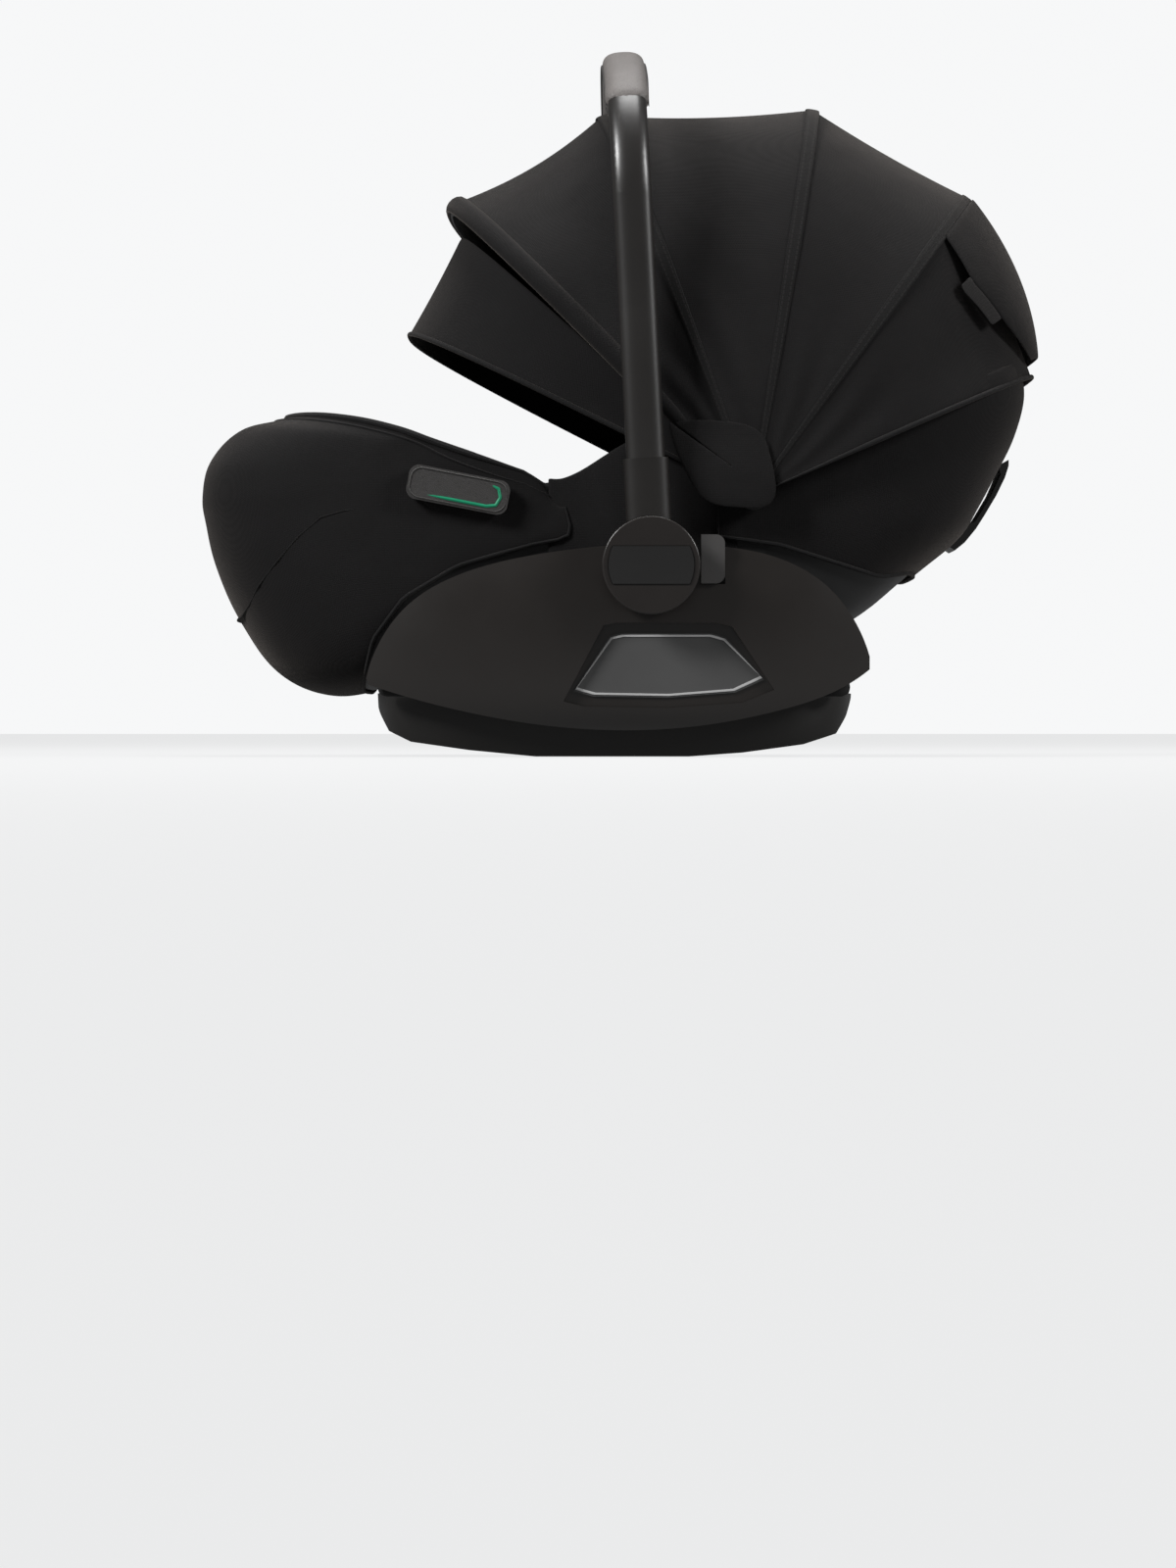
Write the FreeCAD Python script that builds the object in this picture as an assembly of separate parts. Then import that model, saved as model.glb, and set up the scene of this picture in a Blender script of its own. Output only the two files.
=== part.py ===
"""Infant car seat: a rocker-bottomed carrier with a swinging carry handle, and a reclining padded
bucket that carries a folding canopy.

Millimetres. +Z is up, -X points to the child's feet and +X to the head, so the child's left is -Y.
The origin is on the surface that the carrier stands on, in the middle of the whole seat.
"""

import FreeCAD
import Part
import math
import os

from FreeCAD import Vector

# ---------------------------------------------------------------- driving dimensions
WALL = 3.5  # moulded walls
GAP = 0.3  # between pieces that only lie against each other
SLIDE_GAP = 0.4  # round anything that slides in a hole
PIN_GAP = 0.06  # radial clearance of a turning pin
FAR = 300.0  # further across than any piece, for cuts that go right through

# Carrier: the lower body that stands on the floor
TRAY_FRONT = -198.0
TRAY_REAR = 181.0
TRAY_HALF_WIDTH = 170.0  # the seat's width: everything outside the tray stands off this
TRAY_RIM = 50.0  # height of the tray's rim
FAIRING_HALF_LENGTH = 300.0  # of the plan curve that the side fairings follow
FAIRING_MIDDLE = -5.0
FAIRING_POWER = 3.0  # exponent of that plan curve
FAIRING_HALF_WIDTH = TRAY_HALF_WIDTH + 27.2  # at their widest line
FAIRING_WIDEST_Z = 92.0
FAIRING_TOP = 165.0  # crest of the fairings' upper edge
# The leaf that each fairing covers in side view: up over the hub and back along the lower lip
LEAF_TOP = [
    (-202.0, 61.0), (-192.0, 88.0), (-168.0, 119.0), (-128.0, 142.0), (-70.0, 157.0), (0.0, FAIRING_TOP),
    (70.0, FAIRING_TOP - 1), (118.0, 155.0), (156.0, 134.0), (179.0, 106.0), (191.0, 78.0),
]
LEAF_LIP = [
    (191.0, 68.0), (168.0, 53.0), (120.0, 36.0), (62.0, 24.5), (0.0, 20.5), (-60.0, 24.0), (-120.0, 34.0),
    (-168.0, 46.0), (-200.0, 56.0),
]
LABEL_X = 34.0
LABEL_Z = 46.0  # the label plate's lower edge
LABEL_LENGTH = 148.0
LABEL_HEIGHT = 50.0
LABEL_THICK = 1.6
POCKET_DEPTH = 9.0
POCKET_MARGIN = 8.0  # of the pocket round the plate
SIDE_PLATE_Y = (-TRAY_HALF_WIDTH - 10.0, -TRAY_HALF_WIDTH - 5.0)
SIDE_PLATE_X = (-66.0, 92.0)
BOSS_PLACES = [(-38.0, 128.0), (78.0, 112.0)]  # screw bosses between each fairing and its side plate
BOSS_RADIUS = 6.0
SCREW_RADIUS = 2.0
TAB_X = (59.0, 77.5)  # the release tab behind each hub
TAB_Z = (134.5, 172.5)
TAB_Y = (SIDE_PLATE_Y[0] - 17.5, SIDE_PLATE_Y[0] - 4.5)
TAB_TRAVEL = 3.0
TAB_STEM = 4.0

# Latch bars and recline rails in the tray
LATCH_X = (-118.0, 108.0)
LATCH_Z = 21.0
LATCH_RADIUS = 5.0
LATCH_SLOT_Y = 74.0
LATCH_SLOT = (24.0, 18.0)  # half length and half width of the slot under a bar
BRACKET_Y = (48.0, 100.0)
RAIL_Y = (112.0, 124.0)
RAIL_X = (-45.0, 148.0)
RUNNER_THICK = 9.0
BUMPER_X = ((-176.0, -150.0), (132.0, 158.0))
BUMPER_Y = ((-120.0, -80.0), (80.0, 120.0))

# Handle and its hubs
HUB_X = 20.0
HUB_Z = 148.0
HUB_RADIUS = 38.0
HUB_INNER_Y = TRAY_HALF_WIDTH + 28.0
HUB_OUTER_Y = HUB_INNER_Y + 22.0
CAP_Y = HUB_OUTER_Y - 5.0  # the joint between a hub's knuckle and its cap
BUTTON_BACK_Y = CAP_Y - 3.0  # inner face of the hub button's flange
CHAMBER_Y = CAP_Y - 9.0  # floor of the chamber that holds the button's spring
CHAMBER_RADIUS = 28.0
BUTTON_BAND = 30.0  # height of the band that the button fills across the cap
BUTTON_TRAVEL = 3.5
PIVOT_RADIUS = 8.0
BOLT_HEAD_RADIUS = 13.0
DETENT_RADIUS = 23.0
DETENT_TEETH = 18
HANDLE_Y = 11.5 - HUB_OUTER_Y  # middle of the tube beside the seat
HANDLE_REACH = 422.0  # from the hub's axis to the top of the grip
HANDLE_LEAN = 2.9  # degrees, towards the feet
TUBE_WIDE = 30.0  # along the seat
TUBE_DEEP = 18.0  # across the seat
GRIP_SKIN = 2.0
GRIP_DROP = 12.0  # how far the grip's skin runs down each leg
CORNER_RADIUS = 105.0
ARCH_RADIUS = 420.0  # of the handle's top
COLLAR_TOP = 83.0  # above the hub's axis
COLLAR_DEPTH = 30.0  # of the tube's end in the collar

# Reclining bucket
RECLINE_X = 10.0  # the bucket turns about this line
RECLINE_Z = 330.0
CRADLE_RADIUS = 280.0  # underside of the runners
BUCKET_HALF_WIDTH = TRAY_HALF_WIDTH + 2.0
BUCKET_MIDDLE = (-10.0, 225.0)  # the point that its side outline is scaled about
BUCKET_OUTLINE = [
    (-261, 273), (-306, 260), (-331, 234), (-337, 206), (-334, 186), (-325.5, 150), (-303, 102), (-274, 65),
    (-236, 49.5), (-190, 54), (-120, 53), (-45, 53), (10, 51), (80, 60), (150, 88), (199, 116), (239, 150),
    (268, 175), (282, 197), (297, 226), (311, 254), (320, 284), (318, 306), (307, 332), (291, 360),
    (268, 398), (200, 440), (100, 430), (-50, 385), (-180, 315),
]
RIM = [
    (-345, 268), (-261, 269.5), (-214, 265), (-176, 256), (-147, 245.5), (-109, 233), (-62, 219), (-40, 222),
    (-4, 244), (34, 264), (100, 312), (190, 356), (240, 368), (345, 372),
]
CAVITY_OUTLINE = [
    (-292, 290), (-272, 246), (-215, 178), (-140, 128), (-60, 101), (30, 92), (92, 97), (130, 122),
    (176, 190), (240, 283), (266, 323), (273, 350), (268, 385), (200, 440), (60, 450), (-150, 420),
    (-260, 360),
]
CAVITY_MIDDLE = (10.0, 270.0)
CAVITY_HALF_WIDTH = BUCKET_HALF_WIDTH - 26.0
LATERAL = (0.0, 0.5, 0.75, 0.88, 0.95, 0.985)  # where the bucket's sections lie, as shares of its half width
LATERAL_POWER = 5.0
CAVITY_POWER = 8.0
COVER_THICK = 3.4
PAD_THICK = 13.0
RIM_DROP = 5.0  # of the shell's edge below the covers' edge

# Belt hooks on the flanks and the belt guide on the back
FLANK_Y = BUCKET_HALF_WIDTH * LATERAL[-1]  # the bucket's flat flanks
HOOK_X = -130.0
HOOK_Z = 208.0
HOOK_LENGTH = 80.0
HOOK_HEIGHT = 27.0
HOOK_TILT = -11.0
HOOK_SLOT = 7.0
HOOK_THICK = 5.0
HOOK_ROOT = 12.0
GUIDE_HALF_WIDTH = 34.0

# Canopy
CANOPY_X = 100.0
CANOPY_Z = 203.0
CANOPY_PIN_RADIUS = 4.0
EYE_RADIUS = 11.0  # at the foot of each bow
FABRIC = 2.4
BOW_THICK = 2.4
BOW_WIDE = 9.0
BOW_SINK = 3.1  # from the fabric's inner face to a bow's back
BOW_STEP = 3.0  # how much further out each bow's leg stands than the one behind it
ARCH_POWER = 3.0  # exponent of every canopy arch
ARCH_STEPS = 12
CANOPY_HALF_WIDTH = BUCKET_HALF_WIDTH + 18.0
# Each frame of the canopy: its angle up from the head direction, and how far it reaches from the pins
FRAMES = {"rear": (54.3, 304.9), "third": (80.7, 323.0), "second": (110.6, 335.5), "front": (134.9, 341.5)}
VISOR = ((137.0, 317.0), (153.3, 306.5))
HEM = (24.0, 251.5)  # the canopy's lower rear edge
FLAP = ((53.6, 304.6), (26.5, 265.5))
FLAP_FOOT = 0.94  # the share of its reach where the vent flap's corners lie
FLAP_THICK = 1.6

# Backrest, harness and buckle
BACK_DIR = (0.566, 0.824)  # up the backrest, in side view
BACK_FOOT = (165.3, 197.4)  # the pad's face where the straight of the back begins
SHOULDER_Y = 46.0
WEBBING_WIDE = 36.0
WEBBING_THICK = 1.6
BUCKLE_X = (8.0, 64.0)
BUCKLE_Z = (110.0, 130.0)
BUCKLE_HALF = 28.0
BUCKLE_TRAVEL = 2.5
WELL_HALF = 15.0  # of the well that the red button fills
TONGUE_Z = (120.0, 122.4)
ADJUSTER_X = (-124.0, -80.0)

PARTS = {}


# ---------------------------------------------------------------- helpers
def keep(name, *solids):
    """Files one or more solids under a node's name."""
    PARTS[name] = Part.makeCompound(list(solids)) if len(solids) > 1 else solids[0]
    return PARTS[name]


def mirrored(shape):
    """The same piece on the other side of the seat."""
    return shape.mirror(Vector(0, 0, 0), Vector(0, 1, 0))


def keep_pair(name, left):
    """Files a piece for the child's left, at -Y, and its mirror image for the right."""
    keep(name + "_left", left)
    keep(name + "_right", mirrored(left))


def keep_springs(name, right, x):
    """Files a spring and its twin on the other side, wound the same way: turned half round a line at x."""
    left = right.copy()
    left.rotate(Vector(x, 0, 0), Vector(0, 0, 1), 180)
    keep(name + "_left", left)
    keep(name + "_right", right)


def keep_both(name, left):
    """Files a piece and its mirror image as the two solids of one node."""
    keep(name, left, mirrored(left))


def smooth_loop(points):
    """A closed smooth wire through points."""
    curve = Part.BSplineCurve()
    curve.interpolate(Points=points, PeriodicFlag=True)
    return Part.Wire(curve.toShape())


def smooth_edge(points):
    curve = Part.BSplineCurve()
    curve.interpolate(Points=points)
    return curve.toShape()


def side_prism(outline, y0, y1, smooth=False):
    """An outline of (x, z) points, extruded across the seat from y0 to y1."""
    points = [Vector(x, y0, z) for x, z in outline]
    wire = smooth_loop(points) if smooth else Part.makePolygon(points + points[:1])
    return Part.Face(wire).extrude(Vector(0, y1 - y0, 0))


def box(x0, x1, y0, y1, z0, z1):
    return Part.makeBox(x1 - x0, y1 - y0, z1 - z0, Vector(x0, y0, z0))


def cross_cylinder(radius, y0, y1, x, z):
    """A cylinder that lies across the seat."""
    return Part.makeCylinder(radius, y1 - y0, Vector(x, y0, z), Vector(0, 1, 0))


def coil(x, z, radius, y0, y1, turns, wire):
    """A spring that lies across the seat."""
    helix = Part.makeHelix((y1 - y0) / turns, y1 - y0, radius)
    edge = helix.Edges[0]
    section = Part.Wire(Part.makeCircle(wire, edge.Vertexes[0].Point, edge.tangentAt(edge.FirstParameter)))
    spring = Part.Wire(helix).makePipeShell([section], True, True)
    spring.rotate(Vector(0, 0, 0), Vector(1, 0, 0), -90)
    spring.translate(Vector(x, y0, z))
    return spring


def largest(shape):
    return max(shape.Solids, key=lambda solid: solid.Volume)


def outward(solid):
    """The solid with its faces turned outwards."""
    if solid.Volume < 0:
        solid.reverse()
    return solid


def rounded(shape, radius, chosen):
    """The shape with the edges that chosen(edge) picks rounded off."""
    return shape.makeFillet(radius, [edge for edge in shape.Edges if chosen(edge)])


def turned(shape, x, z, degrees):
    """Turned about a line across the seat; positive carries the top towards the head."""
    copy = shape.copy()
    copy.rotate(Vector(x, 0, z), Vector(0, 1, 0), degrees)
    return copy


# ---------------------------------------------------------------- carrier
def tray_form(inset):
    """The tray's outer block, or one that lies inset inside it."""
    middle = (TRAY_FRONT + TRAY_REAR) / 2
    half = (TRAY_REAR - TRAY_FRONT) / 2 - inset
    levels = [(0.0, 0.955), (12.0, 0.975), (30.0, 0.99), (TRAY_RIM + 20, 1.005)]
    rings = []
    for z, share in levels:
        ring = []
        for k in range(32):
            a = 2 * math.pi * k / 32
            c, s = math.cos(a), math.sin(a)
            x = middle + half * share * math.copysign(abs(c) ** (2 / 5.5), c)
            y = (TRAY_HALF_WIDTH - inset) * share * math.copysign(abs(s) ** (2 / 5.5), s)
            ring.append(Vector(x, y, z))
        rings.append(smooth_loop(ring))
    plan = Part.makeLoft(rings, True, False)
    rocker = [
        (-70.0, 0.0), (-122.0, 5.0), (-168.0, 11.5), (-186.0, 20.0), (-194.0, 34.0), (TRAY_FRONT - 8, 60.0),
        (TRAY_FRONT - 8, TRAY_RIM + 20), (TRAY_REAR + 8, TRAY_RIM + 20), (TRAY_REAR + 8, 60.0),
        (176.0, 32.0), (167.0, 18.0), (140.0, 9.5), (92.0, 3.0), (50.0, 0.0),
    ]
    side = side_prism(rocker, -FAR, FAR)
    if inset:
        side.translate(Vector(0, 0, inset))
    return plan.common(side)


def fairing_half_width(z):
    """How far out the fairings' skin lies at a height, half way along the seat."""
    tuck = 12.0 * ((40.0 - z) / 20.0) ** 2 if z < 40 else 0.0
    return FAIRING_HALF_WIDTH - 9.0 * abs((z - FAIRING_WIDEST_Z) / 75.0) ** 2.2 - tuck


def fairing_skin(inset):
    """A barrel whose sides are the fairings' skin."""
    rings = []
    for z in (14.0, 30.0, 48.0, 72.0, 100.0, 130.0, 156.0, 176.0):
        ring = []
        for k in range(28):
            a = 2 * math.pi * k / 28
            c, s = math.cos(a), math.sin(a)
            x = FAIRING_MIDDLE + FAIRING_HALF_LENGTH * math.copysign(abs(c) ** (2 / FAIRING_POWER), c)
            y = (fairing_half_width(z) - inset) * math.copysign(abs(s) ** (2 / FAIRING_POWER), s)
            ring.append(Vector(x, y, z))
        rings.append(smooth_loop(ring))
    return Part.makeLoft(rings, True, False)


def leaf_prism(y0, y1):
    top = [Vector(x, y0, z) for x, z in LEAF_TOP]
    lip = [Vector(x, y0, z) for x, z in LEAF_LIP]
    rear = Part.makeLine(top[-1], lip[0])
    front = Part.makeLine(lip[-1], top[0])
    leaf = Part.Wire([smooth_edge(top), rear, smooth_edge(lip), front])
    return Part.Face(leaf).extrude(Vector(0, y1 - y0, 0))


def label_outline(grow):
    """The label's plate in side view: a low trapezium with its long side below."""
    half, low, high = LABEL_LENGTH / 2 + grow, LABEL_Z - grow, LABEL_Z + LABEL_HEIGHT + grow
    return [
        (LABEL_X - half, low + 5), (LABEL_X - half * 0.62, high - 2), (LABEL_X - half * 0.5, high),
        (LABEL_X + half * 0.45, high), (LABEL_X + half * 0.6, high - 3), (LABEL_X + half, low + 14),
        (LABEL_X + half * 0.7, low + 4), (LABEL_X, low), (LABEL_X - half * 0.8, low + 1),
    ]


def pocket_floor():
    return -(fairing_half_width(LABEL_Z + LABEL_HEIGHT / 2) - POCKET_DEPTH)


def build_fairings():
    """The leaf-shaped side panels, each with a sunk pocket that holds a plain plate."""
    skin = fairing_skin(0)
    shell = skin.cut(fairing_skin(WALL))
    leaf = leaf_prism(-FAR, -100)
    floor = pocket_floor()
    pan = side_prism(label_outline(POCKET_MARGIN + WALL), -FAR, floor + WALL).common(skin).common(leaf)
    left = largest(shell.common(leaf)).fuse(pan).cut(side_prism(label_outline(POCKET_MARGIN), -FAR, floor))
    left = left.cut(cross_cylinder(PIVOT_RADIUS + 5, -FAR, -100, HUB_X, HUB_Z))
    left = left.cut(box(TAB_X[0] - SLIDE_GAP, TAB_X[1] + SLIDE_GAP, -FAR, -100, TAB_Z[0] - SLIDE_GAP, 200))
    for x, z in BOSS_PLACES:
        boss = cross_cylinder(BOSS_RADIUS, -FAR, SIDE_PLATE_Y[0] - 0.05, x, z).common(skin)
        hole = cross_cylinder(SCREW_RADIUS + 0.1, SIDE_PLATE_Y[0] - 7, SIDE_PLATE_Y[0] + 1, x, z)
        left = left.fuse(boss).cut(hole)
    keep_pair("side_fairing", largest(left.removeSplitter()))
    plate = side_prism(label_outline(0), floor - LABEL_THICK, floor)
    keep_both("label_plates", plate)


def build_tray():
    tray = tray_form(0).cut(tray_form(WALL))
    tray = tray.cut(box(-FAR, FAR, -FAR, FAR, TRAY_RIM, 200))
    half_x, half_y = LATCH_SLOT
    for x in LATCH_X:
        for middle in (-LATCH_SLOT_Y, LATCH_SLOT_Y):
            tray = tray.cut(box(x - half_x, x + half_x, middle - half_y, middle + half_y, -5, 12))
    keep("rocker_tray", largest(tray))


def build_latch():
    """Two steel bars under the bucket that a car base's hooks close on, each in four brackets."""
    floor = tray_form(WALL)
    brackets = []
    reach = BRACKET_Y[1] + 6
    top = LATCH_Z + LATCH_RADIUS + 7
    for name, x in zip(("front", "rear"), LATCH_X):
        keep(name + "_latch_bar", cross_cylinder(LATCH_RADIUS, -reach, reach, x, LATCH_Z))
        for middle in BRACKET_Y:
            block = box(x - 13, x + 13, middle - 4, middle + 4, 0, top)
            block = rounded(block, 8, lambda e: abs(e.BoundBox.ZMin - top) < 0.01 and e.BoundBox.YLength > 7)
            bore = cross_cylinder(LATCH_RADIUS + 0.02, middle - 9, middle + 9, x, LATCH_Z)
            block = block.common(floor).cut(bore)
            brackets += [block, mirrored(block)]
    keep("latch_brackets", *brackets)


def arc_band(radius_in, radius_out, x0, x1, y0, y1):
    """A band about the recline line, between two radii, below it and from x0 to x1."""
    ring = cross_cylinder(radius_out, y0, y1, RECLINE_X, RECLINE_Z)
    ring = ring.cut(cross_cylinder(radius_in, y0, y1, RECLINE_X, RECLINE_Z))
    return largest(ring.common(box(x0, x1, y0, y1, -50, RECLINE_Z - 100)))


def build_rails():
    """Curved rails that stand in the tray and carry the bucket's runners."""
    block = box(RAIL_X[0], RAIL_X[1], -RAIL_Y[1], -RAIL_Y[0], 0, 100).common(tray_form(WALL + 0.01))
    tall = box(RAIL_X[0], RAIL_X[1], -RAIL_Y[1], -RAIL_Y[0], 20, 120)
    rail = block.fuse(tall).cut(
        cross_cylinder(CRADLE_RADIUS + GAP, -RAIL_Y[1] - 1, -RAIL_Y[0] + 1, RECLINE_X, RECLINE_Z)
    )
    keep_both("recline_rails", largest(rail.removeSplitter()))
    x0, x1 = RAIL_X[0] + 25, RAIL_X[1] - 5
    runner = arc_band(CRADLE_RADIUS - RUNNER_THICK, CRADLE_RADIUS, x0, x1, -RAIL_Y[1], -RAIL_Y[0])
    keep_both("recline_runners", largest(runner.cut(bucket_form(COVER_THICK))))


def build_side_plates():
    """Upright plates inside the fairings that stand on the tray's rim and carry the handle's pivots."""
    foot_z = TRAY_RIM + 5.0
    x0, x1 = SIDE_PLATE_X
    outline = [
        (x0, TRAY_RIM), (x0, foot_z), (x0 + 18, 118), (x0 + 22, 138), (HUB_X - 34, HUB_Z + 6),
        (HUB_X - 14, HUB_Z + 14), (HUB_X + 14, HUB_Z + 14), (HUB_X + 34, HUB_Z + 7), (x1 - 8, HUB_Z + 4),
        (x1 - 3, 122), (x1, foot_z), (x1, TRAY_RIM),
    ]
    plate = side_prism(outline, *SIDE_PLATE_Y)
    plate = plate.fuse(box(x0, x1, SIDE_PLATE_Y[0], 12 - TRAY_HALF_WIDTH, TRAY_RIM, foot_z))
    plate = plate.cut(cross_cylinder(PIVOT_RADIUS + PIN_GAP, -FAR, -100, HUB_X, HUB_Z))
    stem_x, stem_z = (TAB_X[0] + TAB_X[1]) / 2, TAB_Z[0] + 8.5
    plate = plate.cut(cross_cylinder(TAB_STEM + PIN_GAP, -FAR, -100, stem_x, stem_z))
    screws = []
    for x, z in BOSS_PLACES:
        plate = plate.cut(cross_cylinder(SCREW_RADIUS + GAP, -FAR, -100, x, z))
        shank = cross_cylinder(SCREW_RADIUS, SIDE_PLATE_Y[0] - 6.5, SIDE_PLATE_Y[1], x, z)
        screws.append(shank.fuse(cross_cylinder(4.2, SIDE_PLATE_Y[1], SIDE_PLATE_Y[1] + 2.4, x, z)))
    keep_both("side_plates", largest(plate.removeSplitter()))
    keep("fairing_screws", *screws, *[mirrored(screw) for screw in screws])
    tab = box(*TAB_X, *TAB_Y, *TAB_Z)
    tab = rounded(tab, 7.0, lambda e: e.BoundBox.YLength > 5 and e.BoundBox.XMin > TAB_X[1] - 0.1)
    flange = box(TAB_X[0] - 2, TAB_X[1] + 2, TAB_Y[1] - 2, TAB_Y[1], TAB_Z[0] - 3, TAB_Z[0] + 15)
    stem_y = SIDE_PLATE_Y[1] + TAB_TRAVEL - 2.5
    stem = cross_cylinder(TAB_STEM, TAB_Y[1], stem_y, stem_x, stem_z)
    keep_pair("release_tab", tab.fuse(flange).fuse(stem))
    spring = coil(stem_x, stem_z, TAB_STEM + 2.6, 0.5 - SIDE_PLATE_Y[0], -TAB_Y[1] - 0.5, 2.5, 0.4)
    keep_springs("release_spring", spring, stem_x)


def build_bumpers():
    """Soft pads let under the ends of the rocker."""
    pads = []
    outer = tray_form(0).cut(tray_form(2.0))
    for x0, x1 in BUMPER_X:
        for y0, y1 in BUMPER_Y:
            block = box(x0, x1, y0, y1, -5, 24)
            pads.append(largest(block.common(outer)))
    PARTS["rocker_tray"] = largest(PARTS["rocker_tray"].cut(Part.makeCompound(pads)))
    keep("rocker_bumpers", *pads)


# ---------------------------------------------------------------- bucket

def scaled_outline(outline, share, y):
    cx, cz = BUCKET_MIDDLE
    return smooth_loop([Vector(cx + (x - cx) * share, y, cz + (z - cz) * share) for x, z in outline])


def pillow(outline, half_width, shrink):
    """A closed form whose side outline narrows towards both flanks, like a box with round edges."""
    stations = [-u for u in reversed(LATERAL)] + list(LATERAL[1:])
    wires = []
    for u in stations:
        share = shrink * (1 - abs(u) ** LATERAL_POWER) ** (1 / LATERAL_POWER)
        wires.append(scaled_outline(outline, share, u * half_width))
    return Part.makeLoft(wires, True, False)


def bucket_form(inset):
    return pillow(BUCKET_OUTLINE, BUCKET_HALF_WIDTH - inset, 1 - inset / 240.0)


def above_rim(drop):
    """Everything above the bucket's rim line, lowered by drop."""
    outline = [(x, z - drop) for x, z in RIM] + [(345, 700), (-345, 700)]
    return side_prism(outline, -FAR, FAR)


def cavity_form(inset):
    """The hollow that the child lies in, made smaller all round by inset."""
    cx, cz = CAVITY_MIDDLE
    outline = []
    for x, z in CAVITY_OUTLINE:
        reach = math.hypot(x - cx, z - cz)
        outline.append((cx + (x - cx) * (reach - inset) / reach, cz + (z - cz) * (reach - inset) / reach))
    wires = []
    for u in [-v for v in reversed(LATERAL)] + list(LATERAL[1:]):
        share = (1 - abs(u) ** CAVITY_POWER) ** (1 / CAVITY_POWER)
        y = u * (CAVITY_HALF_WIDTH - inset)
        wires.append(smooth_loop([
            Vector(cx + (x - cx) * share, y, cz + (z - cz) * share) for x, z in outline
        ]))
    return Part.makeLoft(wires, True, False)


def build_bucket():
    """The moulded bucket, its foam liner and its fabric covers, one inside the other."""
    shell = bucket_form(COVER_THICK + GAP).cut(bucket_form(COVER_THICK + GAP + WALL))
    liner_space = bucket_form(COVER_THICK + WALL + 3 * GAP)
    pins = cross_cylinder(CANOPY_PIN_RADIUS + PIN_GAP, -FAR, FAR, CANOPY_X, CANOPY_Z)
    bucket = shell.cut(above_rim(RIM_DROP)).cut(pins)
    liner = liner_space.cut(cavity_form(0)).cut(above_rim(RIM_DROP + 1)).cut(pins)
    keep("bucket_shell", largest(bucket))
    keep("foam_liner", largest(liner))
    pad = cavity_form(GAP).common(bucket_form(COVER_THICK + WALL + 4 * GAP))
    pad = pad.cut(cavity_form(PAD_THICK)).cut(above_rim(RIM_DROP + 1))
    keep("seat_pad", largest(pad))

    cover = bucket_form(0).cut(bucket_form(COVER_THICK)).cut(above_rim(0)).cut(pins)
    foot = [(-400, 30), (-214, 30), (-204, 62), (-196, 92), (-172, 124), (-130, 149), (-72, 166), (-42, 172),
            (-42, 400), (-400, 400)]
    keep("foot_cover", largest(cover.common(side_prism(foot, -FAR, FAR))))
    skirt = [(72, 172), (121, 165), (166, 151), (200, 141), (224, 145), (250, 138), (272, 150), (400, 160),
             (400, 294), (CANOPY_X, CANOPY_Z + 6), (72, CANOPY_Z - 6)]
    keep("back_cover", largest(cover.common(side_prism(skirt, -FAR, FAR))))


def rotated_slot(x, z, length, height, degrees):
    """A small rectangle in side view, turned about its middle."""
    a = math.radians(degrees)
    half_u, half_v = length / 2, height / 2
    corners = [(-half_u, -half_v), (half_u, -half_v), (half_u, half_v), (-half_u, half_v)]
    c, s = math.cos(a), math.sin(a)
    return [(x + u * c - v * s, z + u * s + v * c) for u, v in corners]


def build_belt_hooks():
    """A hook on each flank that the car's lap belt is drawn under."""
    y0 = -(FLANK_Y + HOOK_SLOT)
    plate = side_prism(rotated_slot(HOOK_X, HOOK_Z, HOOK_LENGTH, HOOK_HEIGHT, HOOK_TILT), y0 - HOOK_THICK, y0)
    plate = rounded(plate, 8.0, lambda e: e.BoundBox.YLength > HOOK_THICK - 0.1 and e.BoundBox.XLength < 0.1)
    a = math.radians(HOOK_TILT)
    root_x = HOOK_X - (HOOK_LENGTH / 2 - 9) * math.cos(a)
    root_z = HOOK_Z - (HOOK_LENGTH / 2 - 9) * math.sin(a)
    root = side_prism(rotated_slot(root_x, root_z, HOOK_ROOT, HOOK_HEIGHT - 6, HOOK_TILT), y0, -FLANK_Y)
    keep_pair("belt_hook", plate.fuse(root).removeSplitter())


def build_belt_guide():
    """A hooked plate on the back that the car's shoulder belt is drawn behind."""
    outer = [(268, 166), (276, 172.5), (285, 183.5), (292, 194.5), (301.5, 210.5), (308.5, 225),
             (311.5, 234.5), (311.5, 239.5)]
    inner = [(304.5, 235.5), (303.8, 231.5), (305.2, 228), (298.2, 212), (288.7, 196), (284.5, 189.5),
             (278, 187), (262, 170)]
    plate = side_prism(outer + inner, -GUIDE_HALF_WIDTH, GUIDE_HALF_WIDTH)
    keep("rear_belt_guide", largest(plate.cut(bucket_form(-GAP))))


# ---------------------------------------------------------------- canopy
def arch_points(angle, reach, half_width, foot):
    """Points of an arch over the seat, in the plane at that angle. It starts at foot, a share of reach."""
    a = math.radians(angle)
    foot_t = math.asin(foot ** (ARCH_POWER / 2))
    points = []
    for k in range(2 * ARCH_STEPS + 1):
        t = foot_t + (math.pi - 2 * foot_t) * k / (2 * ARCH_STEPS)
        r = reach * math.sin(t) ** (2 / ARCH_POWER)
        y = -half_width * math.copysign(abs(math.cos(t)) ** (2 / ARCH_POWER), math.cos(t))
        points.append(Vector(CANOPY_X + r * math.cos(a), y, CANOPY_Z + r * math.sin(a)))
    return points


def crescent(angle, reach, half_width, thick, foot):
    """A closed wire between two arches, thick apart."""
    outer = arch_points(angle, reach, half_width, foot)
    inner = arch_points(angle, reach - thick, half_width - thick, foot)
    return Part.Wire([
        smooth_edge(outer), Part.makeLine(outer[-1], inner[-1]),
        smooth_edge(inner), Part.makeLine(inner[0], outer[0]),
    ])


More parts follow.
